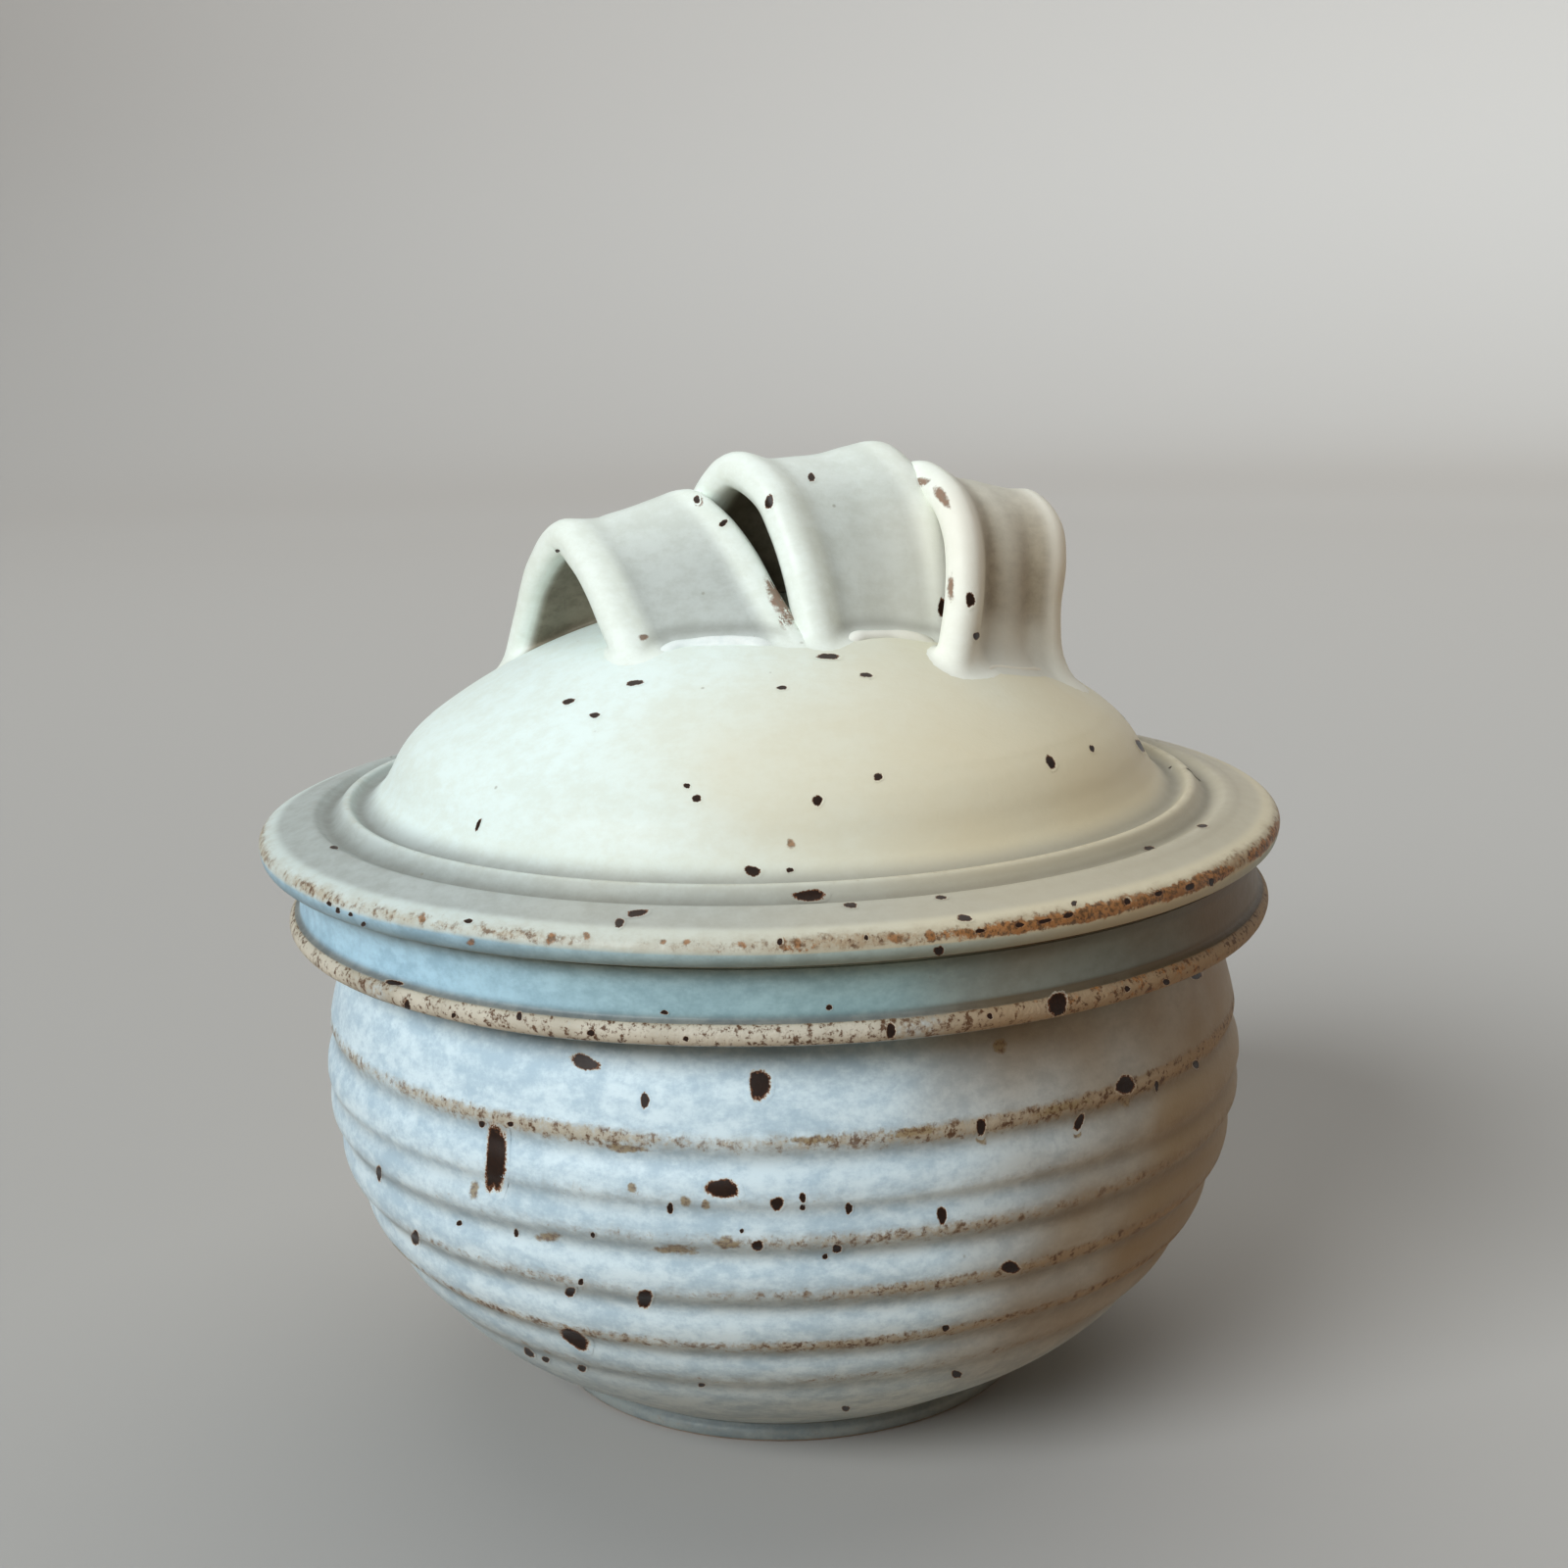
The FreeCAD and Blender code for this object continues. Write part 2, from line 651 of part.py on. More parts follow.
def main():
    parts = [build_bowl(), build_lid()]
    ball = build_dome_ball()
    for loop in LOOPS:
        strap = build_strap(loop)
        parts.append(cut("handle_loop_" + loop, strap, ball))
        for side, word in ((-1, "front"), (1, "rear")):
            coil = build_coil(loop, side, word)
            bedded = cut("%s_%s_bedded" % (loop, word), coil, ball)
            parts.append(cut("%s_loop_%s_coil" % (loop, word), bedded, strap))
    doc.recompute()
    return parts


def check_model(parts):
    """Stops the build if anything in the document failed or a piece came out broken."""
    for item in doc.Objects:
        if "Invalid" in item.State or "Error" in item.State:
            raise RuntimeError("%s failed to build" % item.Label)
    for part in parts:
        if part.Shape.isNull() or not part.Shape.isValid() or len(part.Shape.Solids) != 1:
            raise RuntimeError("%s isn't one valid solid" % part.Label)


pieces = main()
check_model(pieces)
os.makedirs("parts", exist_ok=True)
for piece in pieces:
    piece.Shape.exportStep("parts/%s.step" % piece.Label)
    print(piece.Label, round(piece.Shape.Volume))
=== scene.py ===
"""Looks of a thrown stoneware bowl with a loose domed lid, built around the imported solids.

Lengths are in millimetres until a mesh is made. Angles round the pot run from the front (-Y)
towards the right (+X). Pixels are those of the 1600 x 1600 photograph.
"""
import math
import random

import bmesh
import bpy
import numpy as np
from mathutils import Euler, Matrix, Vector
from mathutils.bvhtree import BVHTree
from mathutils.interpolate import poly_3d_calc


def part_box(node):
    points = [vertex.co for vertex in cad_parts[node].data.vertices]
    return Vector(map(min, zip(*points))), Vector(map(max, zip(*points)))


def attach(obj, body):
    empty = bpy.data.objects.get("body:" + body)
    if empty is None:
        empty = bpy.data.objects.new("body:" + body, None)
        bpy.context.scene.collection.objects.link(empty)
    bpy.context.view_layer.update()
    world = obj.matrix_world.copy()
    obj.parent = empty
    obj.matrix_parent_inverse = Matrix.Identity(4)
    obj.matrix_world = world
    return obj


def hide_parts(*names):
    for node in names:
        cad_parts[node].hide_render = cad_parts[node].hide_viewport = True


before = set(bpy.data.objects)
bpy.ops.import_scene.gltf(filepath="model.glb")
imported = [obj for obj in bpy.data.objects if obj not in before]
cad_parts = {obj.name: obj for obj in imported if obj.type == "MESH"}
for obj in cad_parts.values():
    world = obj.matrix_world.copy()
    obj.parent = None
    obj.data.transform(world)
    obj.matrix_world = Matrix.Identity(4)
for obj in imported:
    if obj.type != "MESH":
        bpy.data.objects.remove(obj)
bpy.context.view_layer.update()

scene = bpy.context.scene
MM = 0.001
UP = Vector((0, 0, 1))
PHOTO_SIZE = 1600
FOCAL_PIXELS = 2450.0
SENSOR = 36.0
CAMERA_PLACE = Vector((1.4, -443.6, 209.5))
CAMERA_PITCH = math.radians(90 - 12.45)
CAMERA_ROLL = math.radians(-1.4)

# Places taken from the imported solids
_, bowl_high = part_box("bowl")
lid_low, lid_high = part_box("lid")
RIM = bowl_high.z / MM
LID_AXIS = (lid_low.x + lid_high.x) / 2 / MM
APEX = lid_high.z / MM

# The sphere of the lid's dome, and the thickness of bowl and lid
DOME_RADIUS = 107.4
DOME_CENTRE = np.array([LID_AXIS, 0.0, APEX - DOME_RADIUS])
WALL = 6.0
# The far left, where the glaze is thickest, and the right front, where the most iron broke
# through: the angle that each faces and its width, in degrees
LEFT_SIDE = (-62, 22)
RIGHT_SIDE = (42, 26)


def add_object(name, data):
    thing = bpy.data.objects.new(name, data)
    scene.collection.objects.link(thing)
    return thing


# Camera

def camera_rotation():
    return Euler((CAMERA_PITCH, 0, 0)).to_matrix() @ Euler((0, 0, CAMERA_ROLL)).to_matrix()


def make_camera():
    data = bpy.data.cameras.new("photo_camera")
    data.sensor_fit = "HORIZONTAL"
    data.sensor_width = SENSOR
    data.lens = SENSOR * FOCAL_PIXELS / PHOTO_SIZE
    data.clip_start = 0.01
    data.clip_end = 50.0
    camera = add_object("photo_camera", data)
    camera.matrix_world = Matrix.Translation(CAMERA_PLACE * MM) @ camera_rotation().to_4x4()
    scene.camera = camera


def sight(px, py):
    """The direction in which a pixel of the photograph looks."""
    half = PHOTO_SIZE / 2
    return (camera_rotation() @ Vector((px - half, half - py, -FOCAL_PIXELS))).normalized()


def seen(px, py, depth):
    """The point at Y = depth on the line of sight through a pixel."""
    way = sight(px, py)
    return CAMERA_PLACE + way * ((depth - CAMERA_PLACE.y) / way.y)


# Curves

def blend(t, low, high, first, second):
    return (high - t) / (high - low) * first + (t - low) / (high - low) * second


def spline(points, steps=16):
    """A centripetal Catmull-Rom curve through the points, with so many steps between neighbours."""
    p = np.array(points, float)
    p = np.vstack([2 * p[0] - p[1], p, 2 * p[-1] - p[-2]])
    knots = np.concatenate([[0], np.cumsum(np.linalg.norm(np.diff(p, axis=0), axis=1) ** 0.5)])
    rows = []
    for i in range(1, len(p) - 2):
        t0, t1, t2, t3 = knots[i - 1:i + 3]
        for t in np.linspace(t1, t2, steps, endpoint=i == len(p) - 3):
            before = blend(t, t0, t1, p[i - 1], p[i])
            between = blend(t, t1, t2, p[i], p[i + 1])
            after = blend(t, t2, t3, p[i + 1], p[i + 2])
            rows.append(blend(t, t1, t2, blend(t, t0, t2, before, between),
                              blend(t, t1, t3, between, after)))
    return np.array(rows)


def unit(v):
    return v / np.linalg.norm(v, axis=-1, keepdims=True)


def lengths(points):
    """How far along a polyline each of its points lies."""
    return np.concatenate([[0], np.cumsum(np.linalg.norm(np.diff(points, axis=0), axis=1))])


def points_at(at, run, points):
    """Places on a polyline whose points lie at the values of run."""
    return np.column_stack([np.interp(at, run, column) for column in points.T])


def resample(points, at):
    """Points at the given shares (0 to 1) of a polyline's length."""
    points = np.asarray(points, float)
    run = lengths(points)
    return points_at(at * run[-1], run, points)


def spaced(points, gap):
    """A polyline resampled so that its points lie about one gap apart."""
    count = max(2, int(round(lengths(points)[-1] / gap)) + 1)
    return resample(points, np.linspace(0, 1, count))


def arc(centre, radius, first, last, count=8):
    angles = np.radians(np.linspace(first, last, count))
    return np.array(centre) + radius * np.column_stack([np.cos(angles), np.sin(angles)])


def chain(*stretches):
    """Joins outline stretches, each given with its spacing, without doubling shared points."""
    rows = []
    for points, gap in stretches:
        for point in spaced(np.array(points), gap):
            if not rows or np.hypot(*(point - rows[-1])) > gap * 0.3:
                rows.append(point)
    return np.array(rows)


def bump(value, middle, width):
    """1 at the middle, fading to 0 on both sides."""
    return np.exp(-((value - middle) / width) ** 2)


def step(start, stop, value):
    """Smoothly from 0 at start to 1 at stop, whichever of them is greater."""
    share = np.clip((value - start) / (stop - start), 0, 1)
    return share * share * (3 - 2 * share)


def wander(angle, seed, waves=(1, 2, 3), fall=0.8):
    """A slow seeded wave round the pot, about -1 to 1."""
    draw = random.Random(seed)
    total, weight = 0, 0
    for count in waves:
        share = count ** -fall
        total = total + share * np.sin(count * angle + draw.uniform(0, math.tau))
        weight += share
    return total / weight * 1.4


def facing(angle, middle, width):
    """1 where the pot faces the middle angle, fading to 0. Both are in degrees."""
    turn = (angle - math.radians(middle) + math.pi) % math.tau - math.pi
    return bump(turn, 0, math.radians(width))


# Meshes

def new_object(name, points, faces):
    mesh = bpy.data.meshes.new(name)
    mesh.from_pydata((np.asarray(points) * MM).tolist(), [], faces)
    mesh.validate()
    mesh.shade_smooth()
    return add_object(name, mesh)


def paint(thing, **layers):
    """Stores one number a vertex under each name, for the glazes to read. The end points that
    close a piece are its last vertices, and get 0 where no value is given for them."""
    for name, values in layers.items():
        layer = thing.data.attributes.new(name, "FLOAT", "POINT")
        numbers = np.zeros(len(layer.data), np.float32)
        numbers[:np.size(values)] = np.ravel(values)
        layer.data.foreach_set("value", numbers)


def grid_faces(rows, columns, closed=False):
    """Quads of a grid whose rows are rings. A closed one also has a fan from each end row to one
    of the two points that follow the grid's own."""
    here = np.arange(rows * columns).reshape(rows, columns)
    beside = np.roll(here, -1, axis=1)
    quads = np.stack([here[:-1], beside[:-1], beside[1:], here[1:]], axis=-1)
    faces = quads.reshape(-1, 4).tolist()
    if closed:
        first = here.size
        for j in range(columns):
            faces.append((first, beside[0, j], here[0, j]))
            faces.append((first + 1, here[-1, j], beside[-1, j]))
    return faces


def closed_piece(name, grid, ends):
    """A piece whose skin is a grid of points in rings, closed by a point at each end."""
    rows, columns = grid.shape[:2]
    points = np.vstack([grid.reshape(-1, 3), ends])
    thing = new_object(name, points, grid_faces(rows, columns, closed=True))
    mesh = bmesh.new()
    mesh.from_mesh(thing.data)
    bmesh.ops.recalc_face_normals(mesh, faces=mesh.faces)
    mesh.to_mesh(thing.data)
    mesh.free()
    return thing


def round_axis(axis_x, angle, radius, height):
    """Points round an upright axis, from angles, radii and heights."""
    return np.stack([axis_x + radius * np.sin(angle), -radius * np.cos(angle), height], axis=-1)


def turned(name, outline, axis_x, shape, sides=256):
    """Turns an outline that starts and ends on the axis. From angle and the outline's own reach
    and ring (radius and height), shape gives radius and height as uneven as hand throwing."""
    inner = outline[1:-1]
    angle, reach = np.meshgrid(np.arange(sides) / sides * math.tau, inner[:, 0])
    ring = np.repeat(inner[:, 1:], sides, axis=1)
    grid = round_axis(axis_x, angle, *shape(angle, reach, ring))
    ends = [(axis_x, 0, outline[end, 1]) for end in (0, -1)]
    return closed_piece(name, grid, ends), angle, reach, ring


# Bowl

BELLY_RADIUS = 86.6
BELLY_MIDDLE = 62.0
BELLY_HALF = 69.0
# The recess under the foot, the height at which the floor starts to curve, and where the inside
# of the neck starts
RECESS = 1.6
FLOOR_CURVE = 22.0
NECK = 86.5
# The bead along the ledge's edge: its middle and its radius
BEAD_REACH = 89.65
BEAD_HEIGHT = 91.85
BEAD_RADIUS = 2.05
RIM_RADIUS = 1.2
# Throwing ridges on the belly: height, depth of the valley above, how far the glaze breaks on it
RIDGES = (
    (72.6, 0.35, 1.05),
    (63.2, 1.1, 0.4),
    (56.0, 0.75, 0.65),
    (45.6, 1.3, 0.8),
    (34.6, 1.35, 1.0),
    (26.0, 1.0, 0.5),
    (17.0, 0.6, 0.1),
)


def belly(height, inset=0.0):
    share = (height - BELLY_MIDDLE) / (BELLY_HALF - inset)
    return (BELLY_RADIUS - inset) * np.sqrt(np.maximum(0, 1 - share ** 2))


def ridged_belly(height):
    """The belly with valleys worn between its throwing ridges and a waist above the foot."""
    radius = belly(height) - 1.1 * bump(height, 7.5, 3.6)
    for (high, _, _), (low, depth, _) in zip(RIDGES, RIDGES[1:]):
        share = np.clip((height - low) / (high - low), 0, 1)
        # The valley's deepest line lies near its top, so each ridge looks like a soft step.
        radius = radius - depth * 0.5 * (1 - np.cos(math.tau * share ** 1.6))
    return radius


def by_the_bead(*rows):
    """Outline points from their radius and their height above the bead's middle."""
    return [(reach, BEAD_HEIGHT + above) for reach, above in rows]


def bowl_outline():
    heights = np.linspace(3.4, BEAD_HEIGHT - 5.75, 900)
    outside = np.column_stack([ridged_belly(heights), heights])
    foot = spline([(38.9, 1.1), (39.2, 0.3), (39.9, 0.0), (45.0, 0.0), (45.9, 0.35),
                   (46.3, 1.3), (46.2, 2.3), (45.6, 3.0), outside[0]])
    foot[:, 1] = np.maximum(foot[:, 1], 0.0)
    ledge = spline([outside[-1], *by_the_bead((80.5, -4.2), (81.9, -2.85), (84.4, -2.2),
                                              (87.4, -2.05), (89.6, -2.05))])
    bead = arc((BEAD_REACH, BEAD_HEIGHT), BEAD_RADIUS, -88, 66, 20)
    collar = spline([bead[-1], *by_the_bead((89.9, 2.2), (89.75, 2.55), (89.7, 3.25)),
                     (89.35, 97.6), (89.35, 100.0), (89.75, 101.8), (89.85, 102.4)])
    rim = arc((88.65, RIM - RIM_RADIUS), RIM_RADIUS, 5, 90)
    inner_rim = arc((85.2, RIM - RIM_RADIUS), RIM_RADIUS, 90, 180)
    gallery = spline([inner_rim[-1], (84.0, 98.5), (83.6, 96.6), (82.0, 95.2), (74.2, 91.0),
                      (72.7, 89.4), (belly(NECK, WALL), NECK)])
    heights = np.linspace(NECK, FLOOR_CURVE, 200)
    inside = np.column_stack([belly(heights, WALL), heights])
    floor_edge = spline([inside[-1], (58.2, 16.2), (50.5, 11.0), (41.0, 8.9), (32.0, 8.6)])
    return chain(
        ([(0.0, RECESS), (38.2, RECESS), (38.9, 1.1)], 3.0), (foot, 0.35), (outside, 0.5),
        (ledge, 0.5), (bead, 0.35), (collar, 0.35), (rim, 0.3), (inner_rim, 0.5),
        (gallery, 1.0), (inside, 2.0), (floor_edge, 2.0), ([(32.0, 8.6), (0.0, 8.4)], 3.0))


def make_bowl():
    outline = bowl_outline()
    top = int(np.argmax(outline[:, 1]))
    outer = (np.arange(len(outline)) <= top)[1:-1, None]

    def shape(angle, radius, height):
        free_clay = outer * step(3, 12, height) * step(BEAD_HEIGHT - 2, BEAD_HEIGHT - 5, height)
        ledge_clay = outer * bump(height, BEAD_HEIGHT, 3)
        radius = radius + free_clay * 0.18 * wander(angle, 1, (1, 2, 3, 5))
        radius = radius + ledge_clay * 0.12 * wander(angle, 2, (3, 5, 8, 13), 0.4)
        drift = 0.55 * wander(angle + height / 30, 3, (1, 2, 4))
        height = height + free_clay * step(12, 30, height) * step(86, 76, height) * drift
        height = height + ledge_clay * 0.15 * wander(angle, 4, (2, 5, 9), 0.5)
        return radius, height

    bowl, angle, reach, ring = turned("glazed_bowl", outline, 0.0, shape)
    above = ring - BEAD_HEIGHT
    left, right = facing(angle, *LEFT_SIDE), facing(angle, *RIGHT_SIDE)
    sideways = np.sin(angle)

    # Each ridge's crest; its valley, darkened just under the crest above by painted shade and
    # pooled glaze; and the tan below it on the right
    thin, pool, tan = np.zeros((3, *angle.shape))
    for number, (at, depth, strength) in enumerate(RIDGES):
        patchy = 0.8 + 0.27 * wander(angle, 20 + number, (2, 3, 5, 9, 17), 0.4) - 0.3 * left
        thin += strength * patchy * bump(ring, at, np.where(ring > at, 1.7, 2.6))
        below = 0.55 * strength * step(12, 44, at) * bump(ring, at - 1.0, 2.8)
        tan += below * facing(angle, 50, 34)
        if number:
            pool += 0.35 * depth * bump(ring, RIDGES[number - 1][0] - 2.5, 1.7)
    # Painted shade low on the front left of the belly
    pool += 0.35 * step(40, 20, ring) * facing(angle, -42, 38)

    # The ledge's bead, the creases over and under it, and the neck. The crease over the bead is
    # darkened both by pooled glaze and by painted shade; the bead's lower half and the neck under
    # it are darkened by painted shade.
    on_bead = step(90.4, 90.9, reach) * (above < 1.85)
    crease = bump(above, 2.1, 0.5) * (reach > 89)
    thin += on_bead * (0.95 + 0.25 * wander(angle, 30, (7, 11, 17, 29, 43), 0.2))
    pool += bump(above, 2.1, 0.7) * (reach > 89) * (0.9 + 0.3 * right)
    pool += bump(above, -4.8, 2.4) * (0.8 - 0.3 * right)
    pool += on_bead * 0.55 * step(-0.55, -1.95, above)
    tan += bump(above, 1.75, 0.5) * (reach > 89) * 0.6
    rust = on_bead * (0.1 + 0.16 * right) + crease * 0.3

    # The collar, darker under the lid's lip and towards the right as painted shade, and blue partly
    # from thick glaze and partly as painted shade; the foot, darkened as painted shade; and the
    # clay left bare on the seat and the foot ring
    collar = 0.34 * step(-0.75, 0.0, sideways) + 0.5 * step(0.0, 0.9, sideways)
    pool += step(1.85, 2.85, above) * (reach > 88) * collar
    pool += step(99.5, 102.0, ring) * (reach > 88) * 0.35
    pool += step(5.0, 3.2, ring) * (reach > 40) * 1.1
    thin += bump(ring, 2.0, 1.5) * (reach > 44) * 0.3
    rust += 0.25 * right * np.clip(thin, 0, 1)
    blue = (1.2 - 0.5 * step(0.7, 1.0, sideways)) * step(1.65, 3.05, above)
    blue = blue * (reach > 88) * step(RIM - 0.3, RIM - 0.8, ring)
    bare = np.maximum(ring > RIM - 0.35, ring < 0.5) * 1.0
    bare = np.maximum(bare, (reach < 39.5) * (ring < 3) * 0.9)
    paint(bowl, thin=np.clip(thin, 0, 1.3) * outer, rust=rust * outer, bare=np.append(bare, 0.9),
          blue=blue * outer, pool=np.clip(pool, 0, 1) * outer, tan=tan * outer)
    return bowl


# Lid

def dome_profile(radius, reach):
    """Outline points of a sphere round the dome's centre."""
    return np.column_stack([reach, DOME_CENTRE[2] + np.sqrt(radius ** 2 - reach ** 2)])


def lid_outline():
    dome = dome_profile(DOME_RADIUS, np.linspace(0, 63.5, 120))
    flare = spline([dome[-1], (66.4, 123.6), (68.8, 120.6), (70.6, 117.3), (72.3, 114.7),
                    (74.1, 112.9), (75.6, 111.8), (76.9, 111.9), (78.2, 112.95), (79.3, 112.85),
                    (80.7, 111.3), (82.1, 110.3), (83.5, 110.6), (84.9, 111.2), (86.5, 110.95),
                    (88.0, 110.35), (90.0, 109.75), (92.0, 109.25), (93.5, 108.7)])
    lip = spline([flare[-1], (94.4, 107.9), (94.9, 106.9), (94.85, 105.8), (94.4, 104.6),
                  (93.5, 103.75), (92.3, 103.5)])
    seat = [(92.3, 103.5), (82.0, 103.5)]
    locating_ring = spline([(82.0, 103.5), (81.5, 103.2), (81.4, 102.6), (81.4, 98.0),
                            (81.0, 96.9), (80.0, 96.5), (77.8, 96.5), (76.8, 96.9),
                            (76.4, 98.0), (76.3, 102.0), (75.0, 104.4), (70.0, 105.9),
                            (67.0, 107.6), (65.6, 111.0), (64.0, 118.2)])
    inside = dome_profile(DOME_RADIUS - WALL, np.linspace(64.0, 0.0, 100))
    return chain((dome, 1.3), (flare, 0.35), (lip, 0.35), (seat, 1.0), (locating_ring, 0.8),
                 (inside, 2.5))


def make_lid():
    outline = lid_outline()
    edge = int(np.argmax(outline[:, 0]))
    outer = (np.arange(len(outline)) <= edge + 12)[1:-1, None]

    def shape(angle, radius, height):
        brim = outer * step(84, 93, radius)
        ruffle = wander(angle, 5, (2, 3, 7, 11, 17), 0.7)
        height = height + brim * 0.16 * ruffle * step(104, 106, height)
        radius = radius + brim * (0.14 * wander(angle, 6, (2, 5, 9, 16), 0.6) - 0.1)
        groove = outer * step(68, 74, radius) * step(91, 88, radius)
        radius = radius + groove * 0.35 * wander(angle, 7)
        return radius, height

    lid, angle, reach, ring = turned("glazed_lid", outline, LID_AXIS, shape)
    right = facing(angle, *RIGHT_SIDE)

    # The lip, which rusts at the right front, and its face
    lip = outer * step(91.0, 93.0, reach) * bump(ring, 107.6, 1.5)
    line = outer * (reach > 92.6) * bump(ring, 107.0, 1.15)
    patchy = 0.42 + 0.22 * wander(angle, 8, (5, 7, 13, 23), 0.2)
    thin = lip * (patchy + 0.35 * right + 0.2 * facing(angle, -48, 43))
    rough = 0.9 + 0.42 * wander(angle, 9, (9, 14, 23, 37), 0.2)
    rust = (0.8 * line + 0.4 * lip) * (0.15 + 0.95 * facing(angle, 44, 35)) * rough
    face = outer * (reach > 92) * step(107.0, 106.0, ring)

    # The brim with its two crests and two grooves, the grooves darkened by pooled glaze and painted
    # shade, and the lip's lower face darkened by painted shade
    inner_crest, outer_crest = bump(reach, 78.6, 0.9), bump(reach, 85.2, 1.2)
    thin += outer * (0.34 * inner_crest + 0.2 * outer_crest)
    grey = outer * step(72, 75, reach) * (1 - 0.55 * bump(reach, 78.6, 1.2))
    grey = grey * (1 - 0.8 * face) * (1 - 0.55 * step(90.5, 92.5, reach))
    pool = outer * (0.55 * bump(reach, 76.0, 1.1) + 0.65 * bump(reach, 82.0, 1.3))
    pool += outer * (reach > 92) * 0.5 * step(106.8, 104.8, ring)
    bare = (ring < 103.7) & (ring > 103.3) & (reach > 81)
    paint(lid, thin=np.clip(thin, 0, 1.3), rust=rust, bare=bare,
          blue=face * (1.45 - 0.35 * right), grey=grey, pool=pool)
    return lid


# Handle straps. Each edge is given by eight places of the middle of its roll, from the rear foot
# over the crest to the front foot: pixel across, pixel down, and depth (Y).
EDGES = {
    "left": {
        "left": ((535, 664, 17), (545, 622, 12), (555, 583, 7), (579, 549, -1), (602, 573, -8),
                 (617, 600, -13), (630, 631, -18), (641, 657, -22)),
        "right": ((640, 640, 19), (655, 590, 13), (672, 545, 8), (698, 513, 1), (733, 536, -7),
                  (759, 570, -12), (779, 607, -17), (797, 636, -22)),
    },
    "middle": {
        "left": ((690, 650, 18), (700, 590, 12), (715, 530, 6), (750, 481, -2), (786, 503, -9),
                 (804, 539, -13), (818, 582, -17), (830, 636, -23)),
        "right": ((865, 640, 27), (866, 580, 22), (872, 520, 17), (891, 468, 10), (921, 489, 3),
                  (943, 530, -2), (954, 578, -6.5), (958, 640, -11)),
    },
    "right": {
        "left": ((897, 628, 22), (900, 575, 17.5), (910, 520, 12.5), (935, 488, 5.5),
                 (966, 508, -4), (981, 547, -11), (983, 606, -17.5), (975, 666, -24)),
        "right": ((1050, 660, 25), (1046, 610, 21), (1042, 550, 17), (1047, 515, 10),
                  (1068, 538, 4), (1072, 573, 1), (1067, 620, 0), (1068, 680, -2)),
    },
}
# A strap's section: radii of its left and right roll, and the heights above its middle surface of
# the folds and the swell between them and of its underside
SECTIONS = {
    "left": (3.6, 2.6, 1.7, 2.1, -1.9),
    "middle": (3.6, 3.3, 1.7, 1.8, -1.9),
    "right": (3.3, 2.9, 1.3, 2.0, -2.0),
}
# How far each foot spreads into the dome: at its left roll, its right roll, outside and inside.
FLARES = {
    "left": {"rear": (3.4, 2.4, 3.0, 2.0), "front": (1.6, 2.2, 2.4, 1.8)},
    "middle": {"rear": (2.4, 3.0, 3.0, 2.0), "front": (1.8, 2.4, 2.4, 1.8)},
    "right": {"rear": (2.4, 3.4, 3.2, 2.0), "front": (2.2, 7.0, 5.5, 2.0)},
}
STRAP_ROWS = 110
STRAP_SIDES = 72


def strap_section(loop, width, relief):
    """Closed section as rows of (across, height), clockwise from the left roll's tip."""
    roll, tail, fold, swell, under = SECTIONS[loop]
    fold = swell + (fold - swell) * relief
    webs = {
        "left": [(0.36, fold + 0.1), (0.56, swell), (0.78, swell + 0.3)],
        "middle": [(0.4, fold), (0.58, swell), (0.8, tail * 0.85)],
        "right": [(0.46, swell), (0.56, swell * 0.98), (0.7, fold + 0.3),
                  (1 - tail * 1.5 / width, tail * 0.75)],
    }
    outside = [(-roll, 0), (-roll * 0.72, roll * 0.7), (0, roll), (roll * 0.75, roll * 0.82),
               (roll * 1.35, fold + 0.35), (roll * 1.9, fold)]
    outside += [(width * share, height) for share, height in webs[loop]]
    outside += [(width - 0.4, tail), (width + tail * 0.72, tail * 0.7), (width + tail, 0)]
    inside = [(width + tail * 0.72, -tail * 0.7), (width, -tail),
              (width - tail * 1.4, under - 0.25), (width * 0.6, under), (width * 0.35, under),
              (roll * 1.6, under - 0.3), (0.4, -roll * 0.97), (-roll * 0.72, -roll * 0.7),
              (-roll, 0)]
    return spline(outside + inside, 10)


def strap_surface(loop, steps=180):
    """Rows of a strap's skin from beyond its rear foot to beyond its front foot, and each
    column's share of the way across and height over the middle surface."""
    edges = []
    for side in ("left", "right"):
        points = np.array([seen(*row) for row in EDGES[loop][side]])
        # Both ends run on into the dome.
        start = points[0] + (points[0] - points[1]) * 0.9
        end = points[-1] + (points[-1] - points[-2]) * 0.9
        edges.append(spline(np.vstack([start, points, end]), 24))
    run = lengths((edges[0] + edges[1]) / 2)
    left, right = (points_at(np.linspace(0, run[-1], steps), run, edge) for edge in edges)
    left_way, right_way = (unit(np.gradient(edge, axis=0)) for edge in (left, right))
    skin = np.zeros((steps, STRAP_SIDES, 3))
    shares = np.zeros(STRAP_SIDES)
    heights = np.zeros(STRAP_SIDES)
    # The hollows of the web are shallow at the crest and deepest half way down the front leg.
    crest = np.argmax(left[:, 2] + right[:, 2])
    relief = 0.35 + 0.9 * step(0.0, 0.55, (np.arange(steps) - crest) / (steps - crest))
    for i in range(steps):
        span = right[i] - left[i]
        width = float(np.linalg.norm(span))
        section = strap_section(loop, width, relief[i])
        for j, (across, high) in enumerate(resample(section, np.arange(STRAP_SIDES) / STRAP_SIDES)):
            share = min(max(across / width, 0), 1)
            way = unit(left_way[i] * (1 - share) + right_way[i] * share)
            side = unit(span - way * np.dot(span, way))
            spare = across - share * width
            skin[i, j] = left[i] + span * share + side * spare + np.cross(way, side) * high
            shares[j], heights[j] = share, high
    return skin, shares, heights


